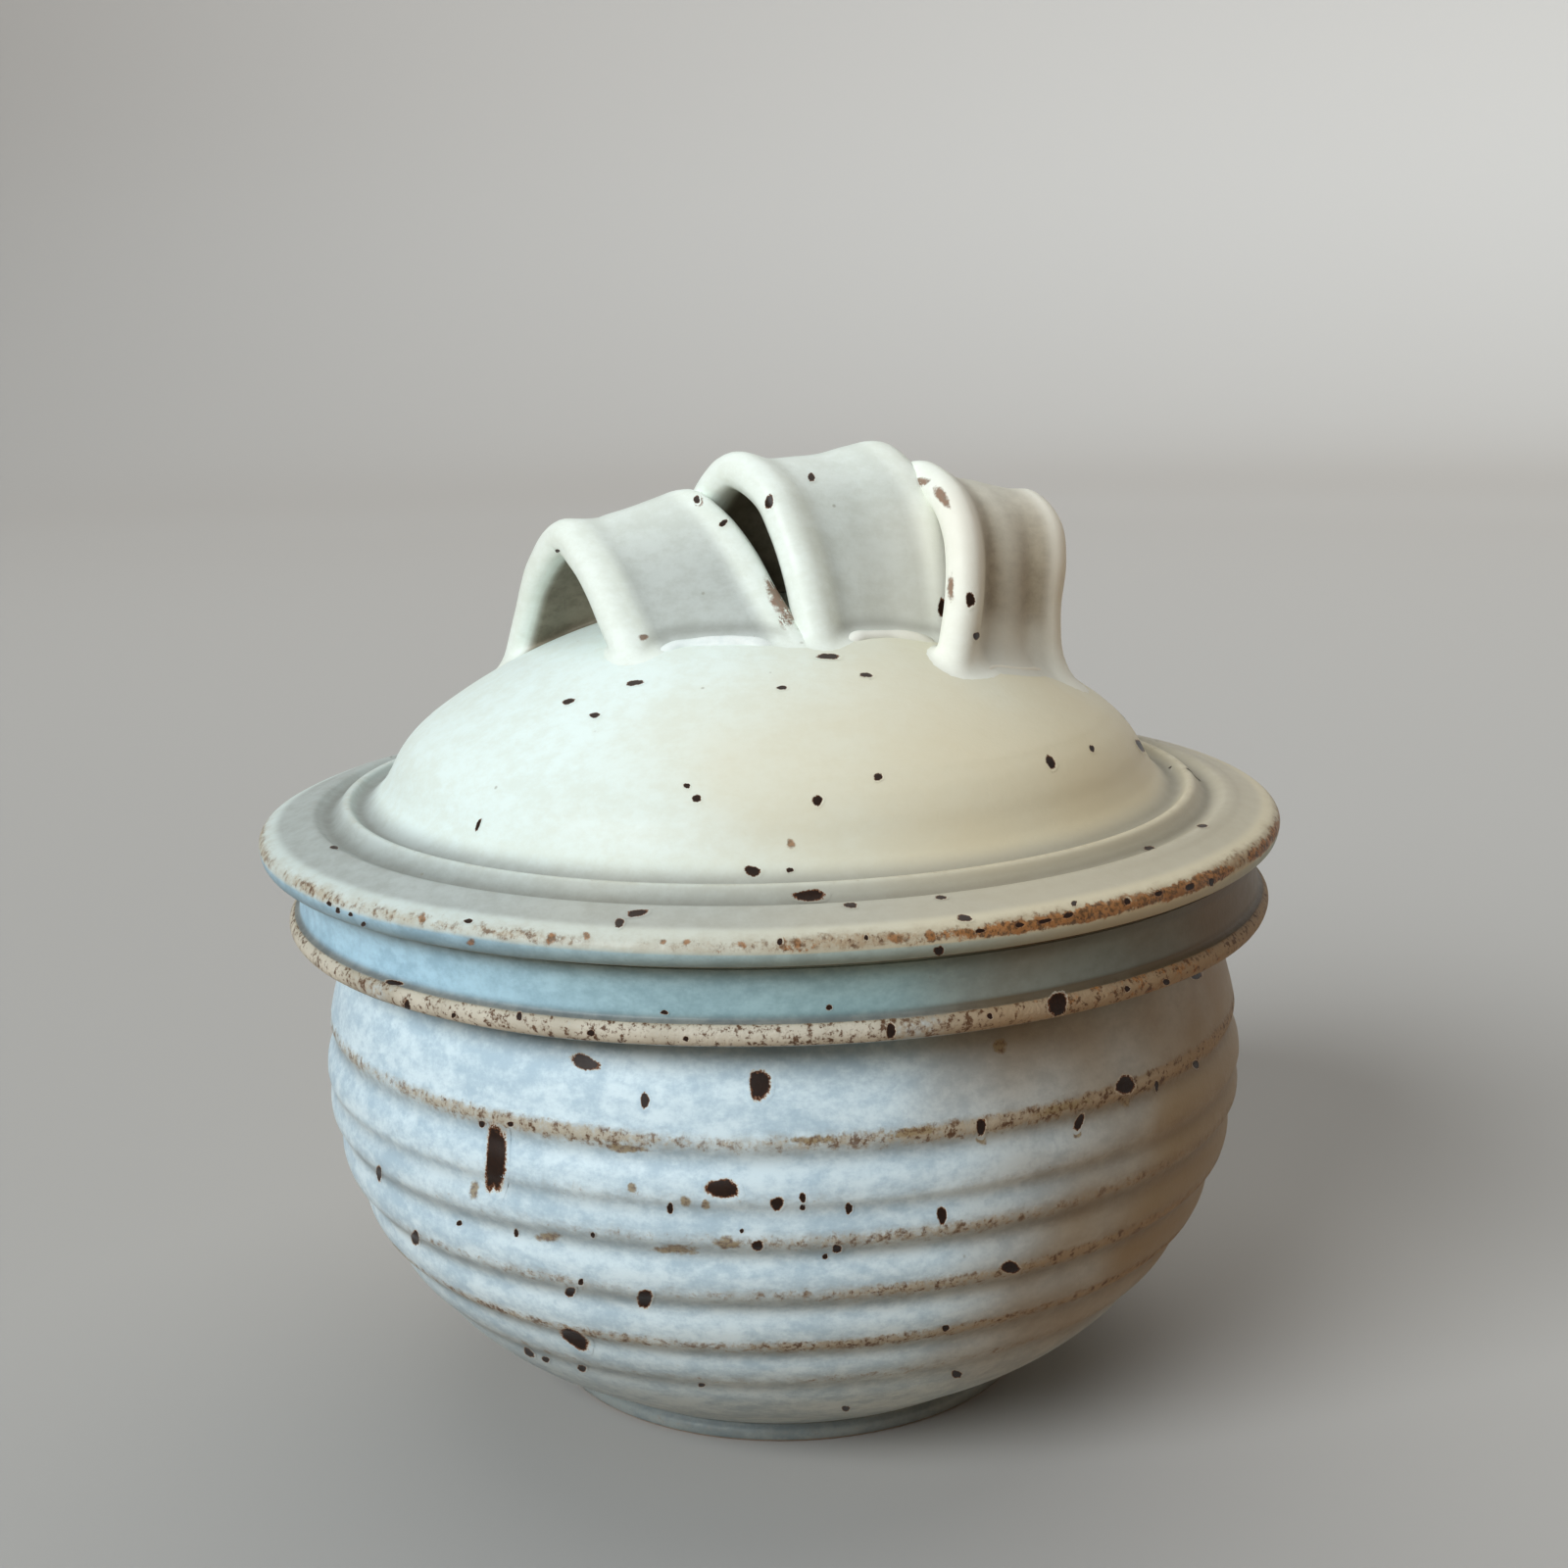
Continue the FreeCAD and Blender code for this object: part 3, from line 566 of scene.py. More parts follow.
def strap_normals(skin):
    """Outward directions on a strap's skin."""
    along = np.gradient(skin, axis=0)
    around = np.roll(skin, -1, axis=1) - np.roll(skin, 1, axis=1)
    return unit(np.cross(along, around))


def on_dome(point, above=0.0):
    """The place on or above the dome's outer face at which a point stands."""
    return DOME_CENTRE + unit(point - DOME_CENTRE) * (DOME_RADIUS + above)


def foot_line(line, normals, spread):
    """Where a line of the skin leaves off above the dome, and the curve that spreads it there."""
    gaps = np.linalg.norm(line - DOME_CENTRE, axis=-1) - DOME_RADIUS
    height = spread * 0.85
    first = int(np.argmax(gaps > height))
    share = (height - gaps[first - 1]) / (gaps[first] - gaps[first - 1])
    top = line[first - 1] + (line[first] - line[first - 1]) * share
    down = unit(line[first - 1] - line[first])
    up = unit(top - DOME_CENTRE)
    drop = max(-np.dot(down, up), 0.35)
    corner = on_dome(top + down * (height / drop))
    out = unit(normals[first] - up * np.dot(normals[first], up))
    toe = on_dome(corner + out * spread, -0.02)
    rows = [top * (1 - t) ** 2 + corner * 2 * t * (1 - t) + toe * t * t
            for t in np.linspace(0, 1, 9)[1:]]
    rows.append(on_dome(toe + out * 0.6, -0.5))
    return first - 1 + share, np.array(rows)


def make_strap(loop):
    skin, share, high = strap_surface(loop)
    outwards = strap_normals(skin)
    lines = []
    for j in range(STRAP_SIDES):
        line, normals = skin[:, j], outwards[:, j]
        feet = []
        for end, order in (("rear", 1), ("front", -1)):
            left_roll, right_roll, outside, inside = FLARES[loop][end]
            rolls = left_roll * (1 - share[j]) + right_roll * share[j]
            face = outside if high[j] > 0 else inside
            inwards = step(0.0, 0.16, min(share[j], 1 - share[j]))
            spread = rolls * (1 - inwards) + face * inwards
            feet.append(foot_line(line[::order], normals[::order], spread))
        (rear_cut, rear), (front_cut, front) = feet
        places = np.arange(len(line))
        kept = np.linspace(rear_cut, places[-1] - front_cut, STRAP_ROWS)
        lines.append(np.vstack([rear[::-1], points_at(kept, places, line), front]))
    grid = np.stack(lines, axis=1)
    ends = [on_dome(ring.mean(axis=0), -2.0) for ring in (grid[0], grid[-1])]
    strap = closed_piece(loop + "_ribbon_loop", grid, ends)

    forward = step(0.45, 0.8, np.linspace(0, 1, len(grid)))[:, None]
    from_end = np.arange(len(grid))[::-1, None]
    web = (high > 0) * step(0.10, 0.22, share) * step(0.93, 0.8, share)
    under = (high < -0.5) * step(0.0, 0.1, share) * step(1.0, 0.9, share) * np.ones_like(from_end)
    dull = {"left": 0.85, "middle": 0.65, "right": 0.4}[loop]
    grey = dull * web * (0.35 + 0.65 * forward)
    # Under each strap, tan and darkening stand partly for thin glaze and partly for painted shade.
    tan = 0.85 * under
    pool = 0.6 * under
    if loop == "right":
        hollows = bump(share, 0.28, 0.14) + bump(share, 0.72, 0.15)
        tan = tan + web * (0.42 * hollows * forward + 0.36) * step(7, 18, from_end)
    else:
        # Painted shade and pooled glaze darken the crease over the luting bead.
        crease = (high > 0) * step(0.02, 0.12, share) * step(1.0, 0.93, share)
        pool = pool + 0.42 * bump(from_end, 7.5, 1.8) * crease
    paint(strap, grey=grey, tan=tan, pool=pool)
    return strap, grid, share, high


# Luting beads, the thin coils pressed into the joint along each foot
# (radius, how far along the fillet they sit from the toe, how uneven, and how deep they are
# pressed in as a share of their radius)
BEADS = {
    ("left", "front"): (1.45, 0.45, 0.06, 0.35),
    ("left", "rear"): (1.35, 0.45, 0.12, 0.3),
    ("middle", "front"): (1.45, 0.42, 0.06, 0.35),
    ("middle", "rear"): (1.3, 0.45, 0.12, 0.3),
    ("right", "front"): (0.9, 0.5, 0.04, 0.86),
    ("right", "rear"): (1.3, 0.45, 0.12, 0.6),
}
BEAD_SIDES = 14


def make_bead(loop, end, grid, share, high):
    """A soft roll along the outer face of a strap's foot, from the left edge to the right."""
    radius, place, uneven, sunk = BEADS[loop, end]
    rows = grid[::-1] if end == "front" else grid
    at = 1 + 5 * place
    first = int(at)
    curve = rows[first] * (first + 1 - at) + rows[first + 1] * (at - first)
    line = curve[(high > 0.2) & (share >= 0.03) & (share <= 0.97)]
    line = spaced(spline(resample(line, np.linspace(0.0, 1.0, 9)), 10), 0.5)
    ends = np.minimum(lengths(line), lengths(line)[-1] - lengths(line))
    # Both ends are smoothed down into the clay.
    depth = sunk + 0.75 * step(radius * 4.5, 0, ends)
    ups = unit(line - DOME_CENTRE)
    line = line - ups * (radius * depth)[:, None]
    sides = unit(np.cross(np.gradient(line, axis=0), ups))
    draw = random.Random(loop + end)
    at = np.linspace(0, 1, len(line))
    swell = 1 + uneven * sum(size * np.sin(at * waves + draw.uniform(0, math.tau))
                             for waves, size in ((9, 1.0), (17, 0.7), (31, 0.4)))
    taper = np.sqrt(np.clip(1 - (1 - np.clip(ends / (radius * 3.2), 0, 1)) ** 2, 0.0004, 1))
    turn = (np.arange(BEAD_SIDES) / BEAD_SIDES * math.tau)[None, :, None]
    ring = sides[:, None] * np.cos(turn) * 1.15 + ups[:, None] * np.sin(turn) * 0.85
    coil = line[:, None] + ring * (radius * swell * taper)[:, None, None]
    return closed_piece("%s_%s_luting_bead" % (loop, end), coil, [line[0], line[-1]])


# Glaze

# What is painted on the pieces for their glaze to read: where it is thin, rusts, leaves the clay
# bare, is blue from thick glaze and painted shade, dull grey, darkened by pooled glaze and painted
# shade, or tan
LAYERS = ("thin", "rust", "bare", "blue", "grey", "pool", "tan")
# Tones that all the glazes share, in linear red, green and blue
TONES = {
    "blue": (0.45, 0.72, 0.90),
    "deep blue": (0.33, 0.55, 0.70),
    # Painted shade that dims the blue towards the right
    "dimmer on the right": (0.92, 0.90, 0.78),
    "grey": (0.35, 0.385, 0.375),
    "deep grey": (0.28, 0.305, 0.295),
    "warm grey": (0.46, 0.41, 0.30),
    "tan": (0.36, 0.30, 0.20),
    "deep tan": (0.22, 0.17, 0.10),
    # Painted shade and pooled glaze both dim by this tone
    "dimmer in a pool": (0.40, 0.38, 0.35),
    "speck": (0.20, 0.18, 0.12),
    "thin cream": (0.48, 0.44, 0.34),
    "warm cream": (0.36, 0.25, 0.14),
    "tint": (0.46, 0.42, 0.32),
    "warm tint": (0.27, 0.19, 0.11),
    "brown": (0.25, 0.17, 0.10),
    "fleck": (0.10, 0.045, 0.02),
    "rust": (0.38, 0.165, 0.05),
    "dark rust": (0.09, 0.038, 0.015),
    "clay": (0.42, 0.31, 0.21),
    "pale clay": (0.56, 0.44, 0.31),
    "spot rim": (0.17, 0.065, 0.025),
    "spot": (0.007, 0.003, 0.002),
    "pale spot": (0.032, 0.013, 0.006),
    "dark stain": (0.15, 0.08, 0.035),
    "paper": (0.45, 0.45, 0.44),
    "light off the paper": (0.42, 0.30, 0.20),
    "sky": (0.78, 0.84, 0.90),
}


class Graph:
    """Short words for wiring shader nodes."""

    def __init__(self, tree):
        self.tree = tree

    def feed(self, socket, value):
        """Gives an input another node's output, a tone by its name or its numbers, or a number."""
        if isinstance(value, bpy.types.NodeSocket):
            self.tree.links.new(value, socket)
        elif socket.type == "RGBA":
            socket.default_value = (*TONES.get(value, value), 1.0)
        else:
            socket.default_value = value

    def node(self, kind, inputs=(), **settings):
        """Adds a node and gives its outputs."""
        item = self.tree.nodes.new(kind)
        for name, value in settings.items():
            setattr(item, name, value)
        for name, value in dict(inputs).items():
            self.feed(item.inputs[name], value)
        return item.outputs

    def math(self, operation, *values):
        return self.node("ShaderNodeMath", enumerate(values), operation=operation)[0]

    def times(self, product, *values):
        for value in values:
            product = self.math("MULTIPLY", product, value)
        return product

    def ramp(self, value, low, high):
        """Smooth step of a number from 0 at low to 1 at high."""
        return self.node("ShaderNodeMapRange", {"Value": value, "From Min": low, "From Max": high},
                         interpolation_type="SMOOTHSTEP")["Result"]

    def weigh(self, *parts, total=0.0):
        """The sum of numbers, each times its weight."""
        for value, weight in parts:
            total = self.math("ADD", total, self.times(value, weight))
        return total

    def mix(self, share, first, second, blend="MIX"):
        return self.node("ShaderNodeMix", {0: share, 6: first, 7: second},
                         data_type="RGBA", blend_type=blend)[2]

    def noise(self, place, scale, detail, rough, seed=0):
        return self.node("ShaderNodeTexNoise", {"Vector": place, "Scale": scale, "Detail": detail,
                                                "Roughness": rough, "W": seed},
                         noise_dimensions="4D")["Fac"]

    def painted(self, name):
        return self.node("ShaderNodeAttribute", attribute_name=name)["Fac"]


def glaze_group():
    """The satin stoneware glaze. It clouds, darkens in hollows, creases and under overhangs with
    pooled glaze and painted shade, breaks cream over crests and rusts where iron shows."""
    group = bpy.data.node_groups.new("stoneware_glaze", "ShaderNodeTree")
    for direction, kind, names in (("INPUT", "Color", ("Pale", "Deep", "Warm", "Cream", "Stain")),
                                   ("INPUT", "Float", ("Halo", "Warm from", "Warm to")),
                                   ("OUTPUT", "Color", ("Base Color",)),
                                   ("OUTPUT", "Float", ("Roughness",)),
                                   ("OUTPUT", "Vector", ("Normal",))):
        for name in names:
            group.interface.new_socket(name, in_out=direction, socket_type="NodeSocket" + kind)
    g = Graph(group)
    mix, ramp, times, weigh, noise = g.mix, g.ramp, g.times, g.weigh, g.noise
    given = group.nodes.new("NodeGroupInput").outputs
    place = g.node("ShaderNodeTexCoord")["Object"]
    flat = g.node("ShaderNodeMapping", {"Vector": place, "Scale": (1, 1, 1.6)})[0]
    tall = g.node("ShaderNodeMapping", {"Vector": place, "Scale": (1, 1, 0.45)})[0]
    slow = noise(place, 22, 2, 0.5, 5)
    cloud = noise(flat, 80, 4, 0.62)
    patch = noise(flat, 300, 4, 0.66, 1)
    blotch = noise(place, 420, 4, 0.72, 7)
    streak = noise(tall, 560, 4, 0.7, 3)
    crumb = noise(place, 900, 4, 0.7, 4)
    fleck = noise(place, 1250, 3, 0.65, 6)
    grain = noise(place, 1500, 2, 0.6, 2)
    edge = noise(place, 2900, 2, 0.6, 8)
    thin, rust, bare, blue, grey, pool, tan, iron, stain = (
        g.painted(name) for name in LAYERS + ("iron", "stain"))

    # Clouding between the pale and the deep tone
    clouded = ramp(weigh((cloud, 0.42), (patch, 0.46), (grain, 0.12)), 0.40, 0.61)
    base = mix(clouded, given["Pale"], given["Deep"])

    # Blue, partly thick glaze and partly painted shade under overhangs, dimmed towards the right as
    # painted shade; and the warm tone of the right front, partly the glaze's own and partly painted
    # shade and warm reflected light. A blue above 1, as on the lip's face, holds the warm tone
    # back.
    across, back, _ = g.node("ShaderNodeSeparateXYZ", {"Vector": place})
    side = weigh((across, 0.94), (back, -0.34), (slow, 0.09), total=-0.045)
    blue_glaze_and_shade = mix(clouded, "blue", "deep blue")
    blue_glaze_and_shade = mix(ramp(side, -0.035, 0.045), blue_glaze_and_shade, "dimmer on the right", "MULTIPLY")
    base = mix(times(blue, 0.8), base, blue_glaze_and_shade)
    warmth = ramp(side, given["Warm from"], given["Warm to"])
    let_through = weigh((ramp(blue, 1.0, 1.4), -0.7), total=1)
    base = mix(times(warmth, let_through), base, given["Warm"])

    # Dull and tan glaze, and darkening by pooled glaze and painted shade
    dull = mix(times(warmth, 0.7), mix(clouded, "grey", "deep grey"), "warm grey")
    base = mix(times(grey, 0.8), base, dull)
    base = mix(tan, base, mix(clouded, "tan", "deep tan"))
    base = mix(pool, base, "dimmer in a pool", "MULTIPLY")

    # Tiny dull specks everywhere
    cells = g.node("ShaderNodeTexVoronoi", {"Vector": place, "Scale": 170.0})
    chance = g.node("ShaderNodeSeparateColor", {"Color": cells["Color"]})[0]
    dots = weigh((ramp(cells["Distance"], 0.03, 0.075), -1), total=1)
    base = mix(times(dots, ramp(chance, 0.72, 0.95), 0.45), base, "speck")

    # The glaze thins over crests, in a soft wide tint, and breaks cream and brown on them
    tint = ramp(weigh((thin, 1), (patch, 0.8), (blotch, 0.5)), 0.80, 1.55)
    base = mix(times(tint, 0.6), base, mix(warmth, "tint", "warm tint"))
    cream = mix(ramp(thin, 0.8, 1.0), "thin cream", given["Cream"])
    cream = mix(warmth, cream, "warm cream")
    browning = weigh((fleck, 0.3), (streak, 0.35), (blotch, 0.35), (thin, -0.075))
    break_tone = mix(ramp(browning, 0.42, 0.50), cream, "brown")
    breaking = weigh((thin, 1), (crumb, 1.1), (blotch, 0.9), (streak, 0.5))
    broken = times(ramp(breaking, 1.68, 2.02), ramp(thin, 0.05, 0.3))
    base = mix(times(broken, 0.8), base, break_tone)
    flecking = weigh((fleck, 0.35), (streak, 0.35), (blotch, 0.3))
    flecks = times(ramp(flecking, 0.52, 0.57), ramp(thin, 0.3, 0.8))
    base = mix(times(flecks, 0.85), base, "fleck")

    # Rust where iron came through
    rusting = weigh((rust, 1), (crumb, 0.8), (blotch, 1.3))
    rusted = times(ramp(rusting, 1.52, 1.78), ramp(rust, 0.03, 0.25))
    rust_tone = mix(ramp(fleck, 0.42, 0.6), "rust", "dark rust")
    base = mix(times(rusted, 0.9), base, rust_tone)

    # Bare clay at the foot and on the seats
    unglazed = ramp(bare, 0.3, 0.6)
    base = mix(unglazed, base, mix(grain, "clay", "pale clay"))

    # Iron spots: a cream halo, a rusty rim and a black-brown middle
    uneven = weigh((crumb, 0.45), (edge, 0.55), total=-0.5)
    ragged = weigh((iron, 1), (times(uneven, ramp(iron, 0.0, 0.25)), 0.75))
    base = mix(times(ramp(ragged, 0.20, 0.29), given["Halo"]), base, given["Cream"])
    base = mix(ramp(ragged, 0.27, 0.34), base, "spot rim")
    base = mix(ramp(ragged, 0.34, 0.43), base, mix(fleck, "spot", "pale spot"))

    # Soft stains
    smudge = weigh((blotch, 0.6), (crumb, 0.4), total=-0.5)
    soaked = weigh((stain, 1), (times(smudge, ramp(stain, 0.0, 0.35)), 2.4))
    stain_tone = mix(ramp(fleck, 0.45, 0.62), given["Stain"], "dark stain")
    base = mix(times(ramp(soaked, 0.12, 0.6), 0.85), base, stain_tone)

    roughness = weigh((patch, 0.18), (broken, 0.14), (unglazed, 0.4), total=0.33)
    relief = weigh((patch, 0.42), (grain, 0.18), (times(crumb, thin), 1.6),
                   (ramp(ragged, 0.2, 0.4), -0.6))
    surface = g.node("ShaderNodeBump", {"Height": relief, "Strength": 0.6, "Distance": 0.00026})[0]
    g.node("NodeGroupOutput", {"Base Color": base, "Roughness": roughness, "Normal": surface})
    return group


def new_material(name):
    material = bpy.data.materials.new(name)
    material.use_nodes = True
    g = Graph(material.node_tree)
    return material, g, g.tree.nodes["Principled BSDF"].inputs


# Each glaze's pale tone, deep tone, warm tone of the right front (partly its own colour and partly
# painted shade and warm reflected light), cream of its breaks and tone of its stains, how much of a
# halo its iron spots have, and how far out to the right front (in metres) the warm tone starts and
# is full
GLAZES = {
    "bowl_glaze": ((0.72, 0.89, 0.98), (0.47, 0.64, 0.76), (0.33, 0.245, 0.14), (0.65, 0.61, 0.50),
                   (0.31, 0.24, 0.13), 0.8, 0.042, 0.088),
    "lid_glaze": ((0.79, 0.92, 0.90), (0.74, 0.84, 0.79), (0.71, 0.64, 0.45), (0.68, 0.63, 0.50),
                  (0.32, 0.15, 0.055), 0.1, -0.035, 0.075),
    "handle_glaze": ((0.84, 0.92, 0.87), (0.77, 0.84, 0.77), (0.85, 0.83, 0.73), (0.68, 0.62, 0.48),
                     (0.19, 0.07, 0.02), 0.1, 0.0, 0.07),
    "luting_glaze": ((0.86, 0.92, 0.90), (0.74, 0.82, 0.81), (0.78, 0.74, 0.62), (0.70, 0.65, 0.52),
                     (0.38, 0.19, 0.075), 0.1, -0.01, 0.06),
}


def make_glazes():
    group = glaze_group()
    glazes = {}
    for slot, inputs in GLAZES.items():
        glazes[slot], g, shader = new_material(slot)
        for output in g.node("ShaderNodeGroup", enumerate(inputs), node_tree=group):
            g.feed(shader[output.name], output)
        shader["IOR"].default_value = 1.45
        shader["Specular IOR Level"].default_value = 0.3
    return glazes


# Iron spots. Those on the side that the photograph shows: pixel across, pixel down, width,
# height in pixels, and tilt in degrees (clockwise) where there is one.
SEEN_IRON = (
    (648, 697, 15, 5, -8), (580, 716, 12, 5, -12), (607, 730, 9, 5, -10), (798, 702, 9, 4),
    (845, 670, 21, 5, 2), (884, 689, 12, 4, 5), (770, 651, 4, 3), (701, 802, 6, 5),
    (711, 815, 8, 7, 20), (834, 817, 10, 9), (896, 793, 8, 7), (768, 889, 14, 10, 15),
    (806, 888, 7, 4), (826, 914, 28, 11), (868, 924, 12, 5), (650, 932, 20, 6, -10),
    (632, 942, 8, 9, 20), (478, 940, 8, 4), (341, 865, 8, 3, 10), (488, 842, 3, 12, 20),
    (1072, 778, 7, 14, -25), (1114, 764, 4, 7, -25), (1163, 761, 4, 13, -30), (1227, 843, 10, 3),
    (1173, 866, 10, 4, 5), (960, 916, 10, 4), (984, 937, 14, 6, 10), (958, 970, 9, 9),
    (1096, 922, 5, 5), (711, 510, 6, 7), (738, 534, 9, 5, -35), (828, 487, 6, 8),
    (785, 512, 7, 14, 10), (569, 562, 4, 3), (961, 620, 7, 16), (990, 612, 8, 14, -10),
    (996, 649, 6, 7), (402, 1003, 16, 5, 8), (678, 1033, 7, 4), (846, 1028, 6, 5),
    (338, 998, 14, 21, -30), (416, 1028, 6, 14, -5), (603, 1054, 7, 6), (909, 1052, 8, 15),
    (1079, 1025, 18, 22, 15), (1220, 995, 11, 8), (597, 1084, 26, 13, 15), (775, 1107, 20, 27, 10),
    (658, 1123, 8, 14, 5), (506, 1182, 17, 62, 3), (492, 1147, 6, 6), (521, 1147, 6, 5),
    (387, 1197, 5, 14, -3), (424, 1263, 7, 14, -5), (469, 1248, 5, 5), (527, 1258, 4, 8),
    (737, 1213, 28, 18), (793, 1228, 11, 13), (819, 1222, 6, 9), (819, 1232, 5, 6),
    (866, 1233, 6, 11), (961, 1240, 8, 18, -5), (1001, 1150, 8, 17), (1101, 1145, 7, 18, 20),
    (1148, 1107, 17, 17), (1220, 1086, 6, 8), (1180, 1108, 4, 10), (773, 1271, 11, 9),
    (854, 1274, 8, 8), (842, 1282, 5, 5), (658, 1325, 14, 16), (582, 1318, 9, 9), (593, 1308, 5, 6),
    (587, 1366, 30, 13, 38), (540, 1380, 11, 6, 40), (557, 1387, 7, 5, 20), (594, 1396, 8, 6, 20),
    (481, 1355, 4, 5), (1031, 1293, 18, 11), (1192, 1275, 8, 15, 30), (976, 1402, 9, 7, 20),
    (863, 1437, 7, 5), (716, 1413, 6, 4), (965, 1355, 7, 6), (757, 1256, 4, 4), (684, 1233, 6, 10),
    (605, 1260, 4, 5), (796, 961, 5, 7), (884, 957, 4, 5), (336, 922, 5, 4, 30), (345, 929, 4, 6),
    (358, 933, 4, 4), (371, 943, 4, 5, 20), (1000, 950, 9, 4, -8), (1040, 944, 8, 5, -10),
    (1066, 940, 14, 4, -12), (1090, 934, 10, 5, -15), (1150, 920, 6, 7, -20),
    (1182, 912, 8, 5, -20), (1214, 905, 10, 6, -30), (1236, 900, 5, 8), (530, 1037, 5, 9),
    (463, 1036, 4, 5), (700, 1060, 5, 5), (1010, 1037, 5, 6), (1150, 1009, 5, 6),
    (1190, 1002, 6, 6),
)
# Soft rusty or olive stains, given in the same way
SEEN_STAINS = (
    (797, 612, 18, 50, -25), (803, 632, 14, 16), (961, 506, 9, 22, -35), (940, 492, 14, 8, -20),
    (807, 861, 8, 10), (656, 651, 9, 6), (1148, 1122, 8, 16), (1099, 1156, 7, 10),
    (1001, 1163, 9, 10), (970, 600, 6, 22), (713, 512, 8, 9), (484, 1215, 9, 16),
    (742, 1268, 24, 12), (690, 1275, 40, 9), (560, 1262, 24, 9), (1020, 1068, 13, 13),
    (645, 1212, 9, 8), (700, 1226, 10, 10), (720, 1229, 9, 8), (431, 937, 6, 11), (481, 961, 9, 6),
    (562, 958, 9, 10), (599, 955, 7, 8), (677, 961, 7, 5), (701, 961, 7, 6), (756, 964, 10, 6),
    (797, 961, 10, 11), (814, 961, 6, 7), (884, 957, 8, 9), (915, 958, 16, 9), (949, 955, 9, 13),
    (985, 951, 18, 8, -8), (1060, 941, 60, 9, -11), (1150, 921, 44, 14, -18),
    (1212, 905, 46, 13, -26), (1110, 930, 30, 7, -15), (640, 1172, 40, 8, 6),
    (830, 1163, 44, 8, -3), (930, 1155, 50, 8, -6), (1085, 1130, 50, 8, -14),
)
# Places that the seeded spots behind each loop are aimed at
LOOP_MIDDLES = {
    "left": Vector((-22, 4, 152)),
    "middle": Vector((8, 6, 158)),
    "right": Vector((38, 10, 155)),
}
# How far past its own edge a spot's patch reaches, the least and most rings and sides of a patch,
# and in metres the size of its cells, its lift off the skin, its least reach, the distance past
# which the host is found beyond its edge, and the jump between two cells that means such an edge
SPOT_EDGE = 1.6
SPOT_RINGS = (7, 16)
SPOT_SIDES = (18, 44)
SPOT_CELL = 0.0004
SPOT_LIFT = {"iron": 0.00005, "stain": 0.00002}
SPOT_LEAST = 0.0005
SPOT_FAR = 0.012
SPOT_JUMP = 0.0025
# Seeded spots on the side that the photograph doesn't show, on the bowl, the lid and each loop
SPOT_SEED = 7
SPOT_COUNTS = (90, 45, 3)
# Exponents of a spot's outline: a round one's and that of a long drip with square ends
ROUND = 2.15
SQUARE = 3.0


class Host:
    """A finished piece that spots can be laid on."""

    def __init__(self, thing):
        mesh = thing.data
        mesh.calc_loop_triangles()
        self.points = [v.co.copy() for v in mesh.vertices]
        self.corners = [list(t.vertices) for t in mesh.loop_triangles]
        self.tree = BVHTree.FromPolygons(self.points, self.corners)
        self.normals = np.array([v.normal for v in mesh.vertices])
        self.layers = np.zeros((len(self.points), len(LAYERS)))
        for column, name in enumerate(LAYERS):
            if name in mesh.attributes:
                self.layers[:, column] = [item.value for item in mesh.attributes[name].data]

    def touch(self, origin, way):
        """Where a ray meets the piece: place, smooth normal, distance and the glaze's layers."""
        place, _, index, distance = self.tree.ray_cast(origin, way)
        if place is None:
            return None
        corners = self.corners[index]
        weights = np.array(poly_3d_calc([self.points[corner] for corner in corners], place))
        normal = Vector(weights @ self.normals[corners]).normalized()
        return place, normal, distance, weights @ self.layers[corners]


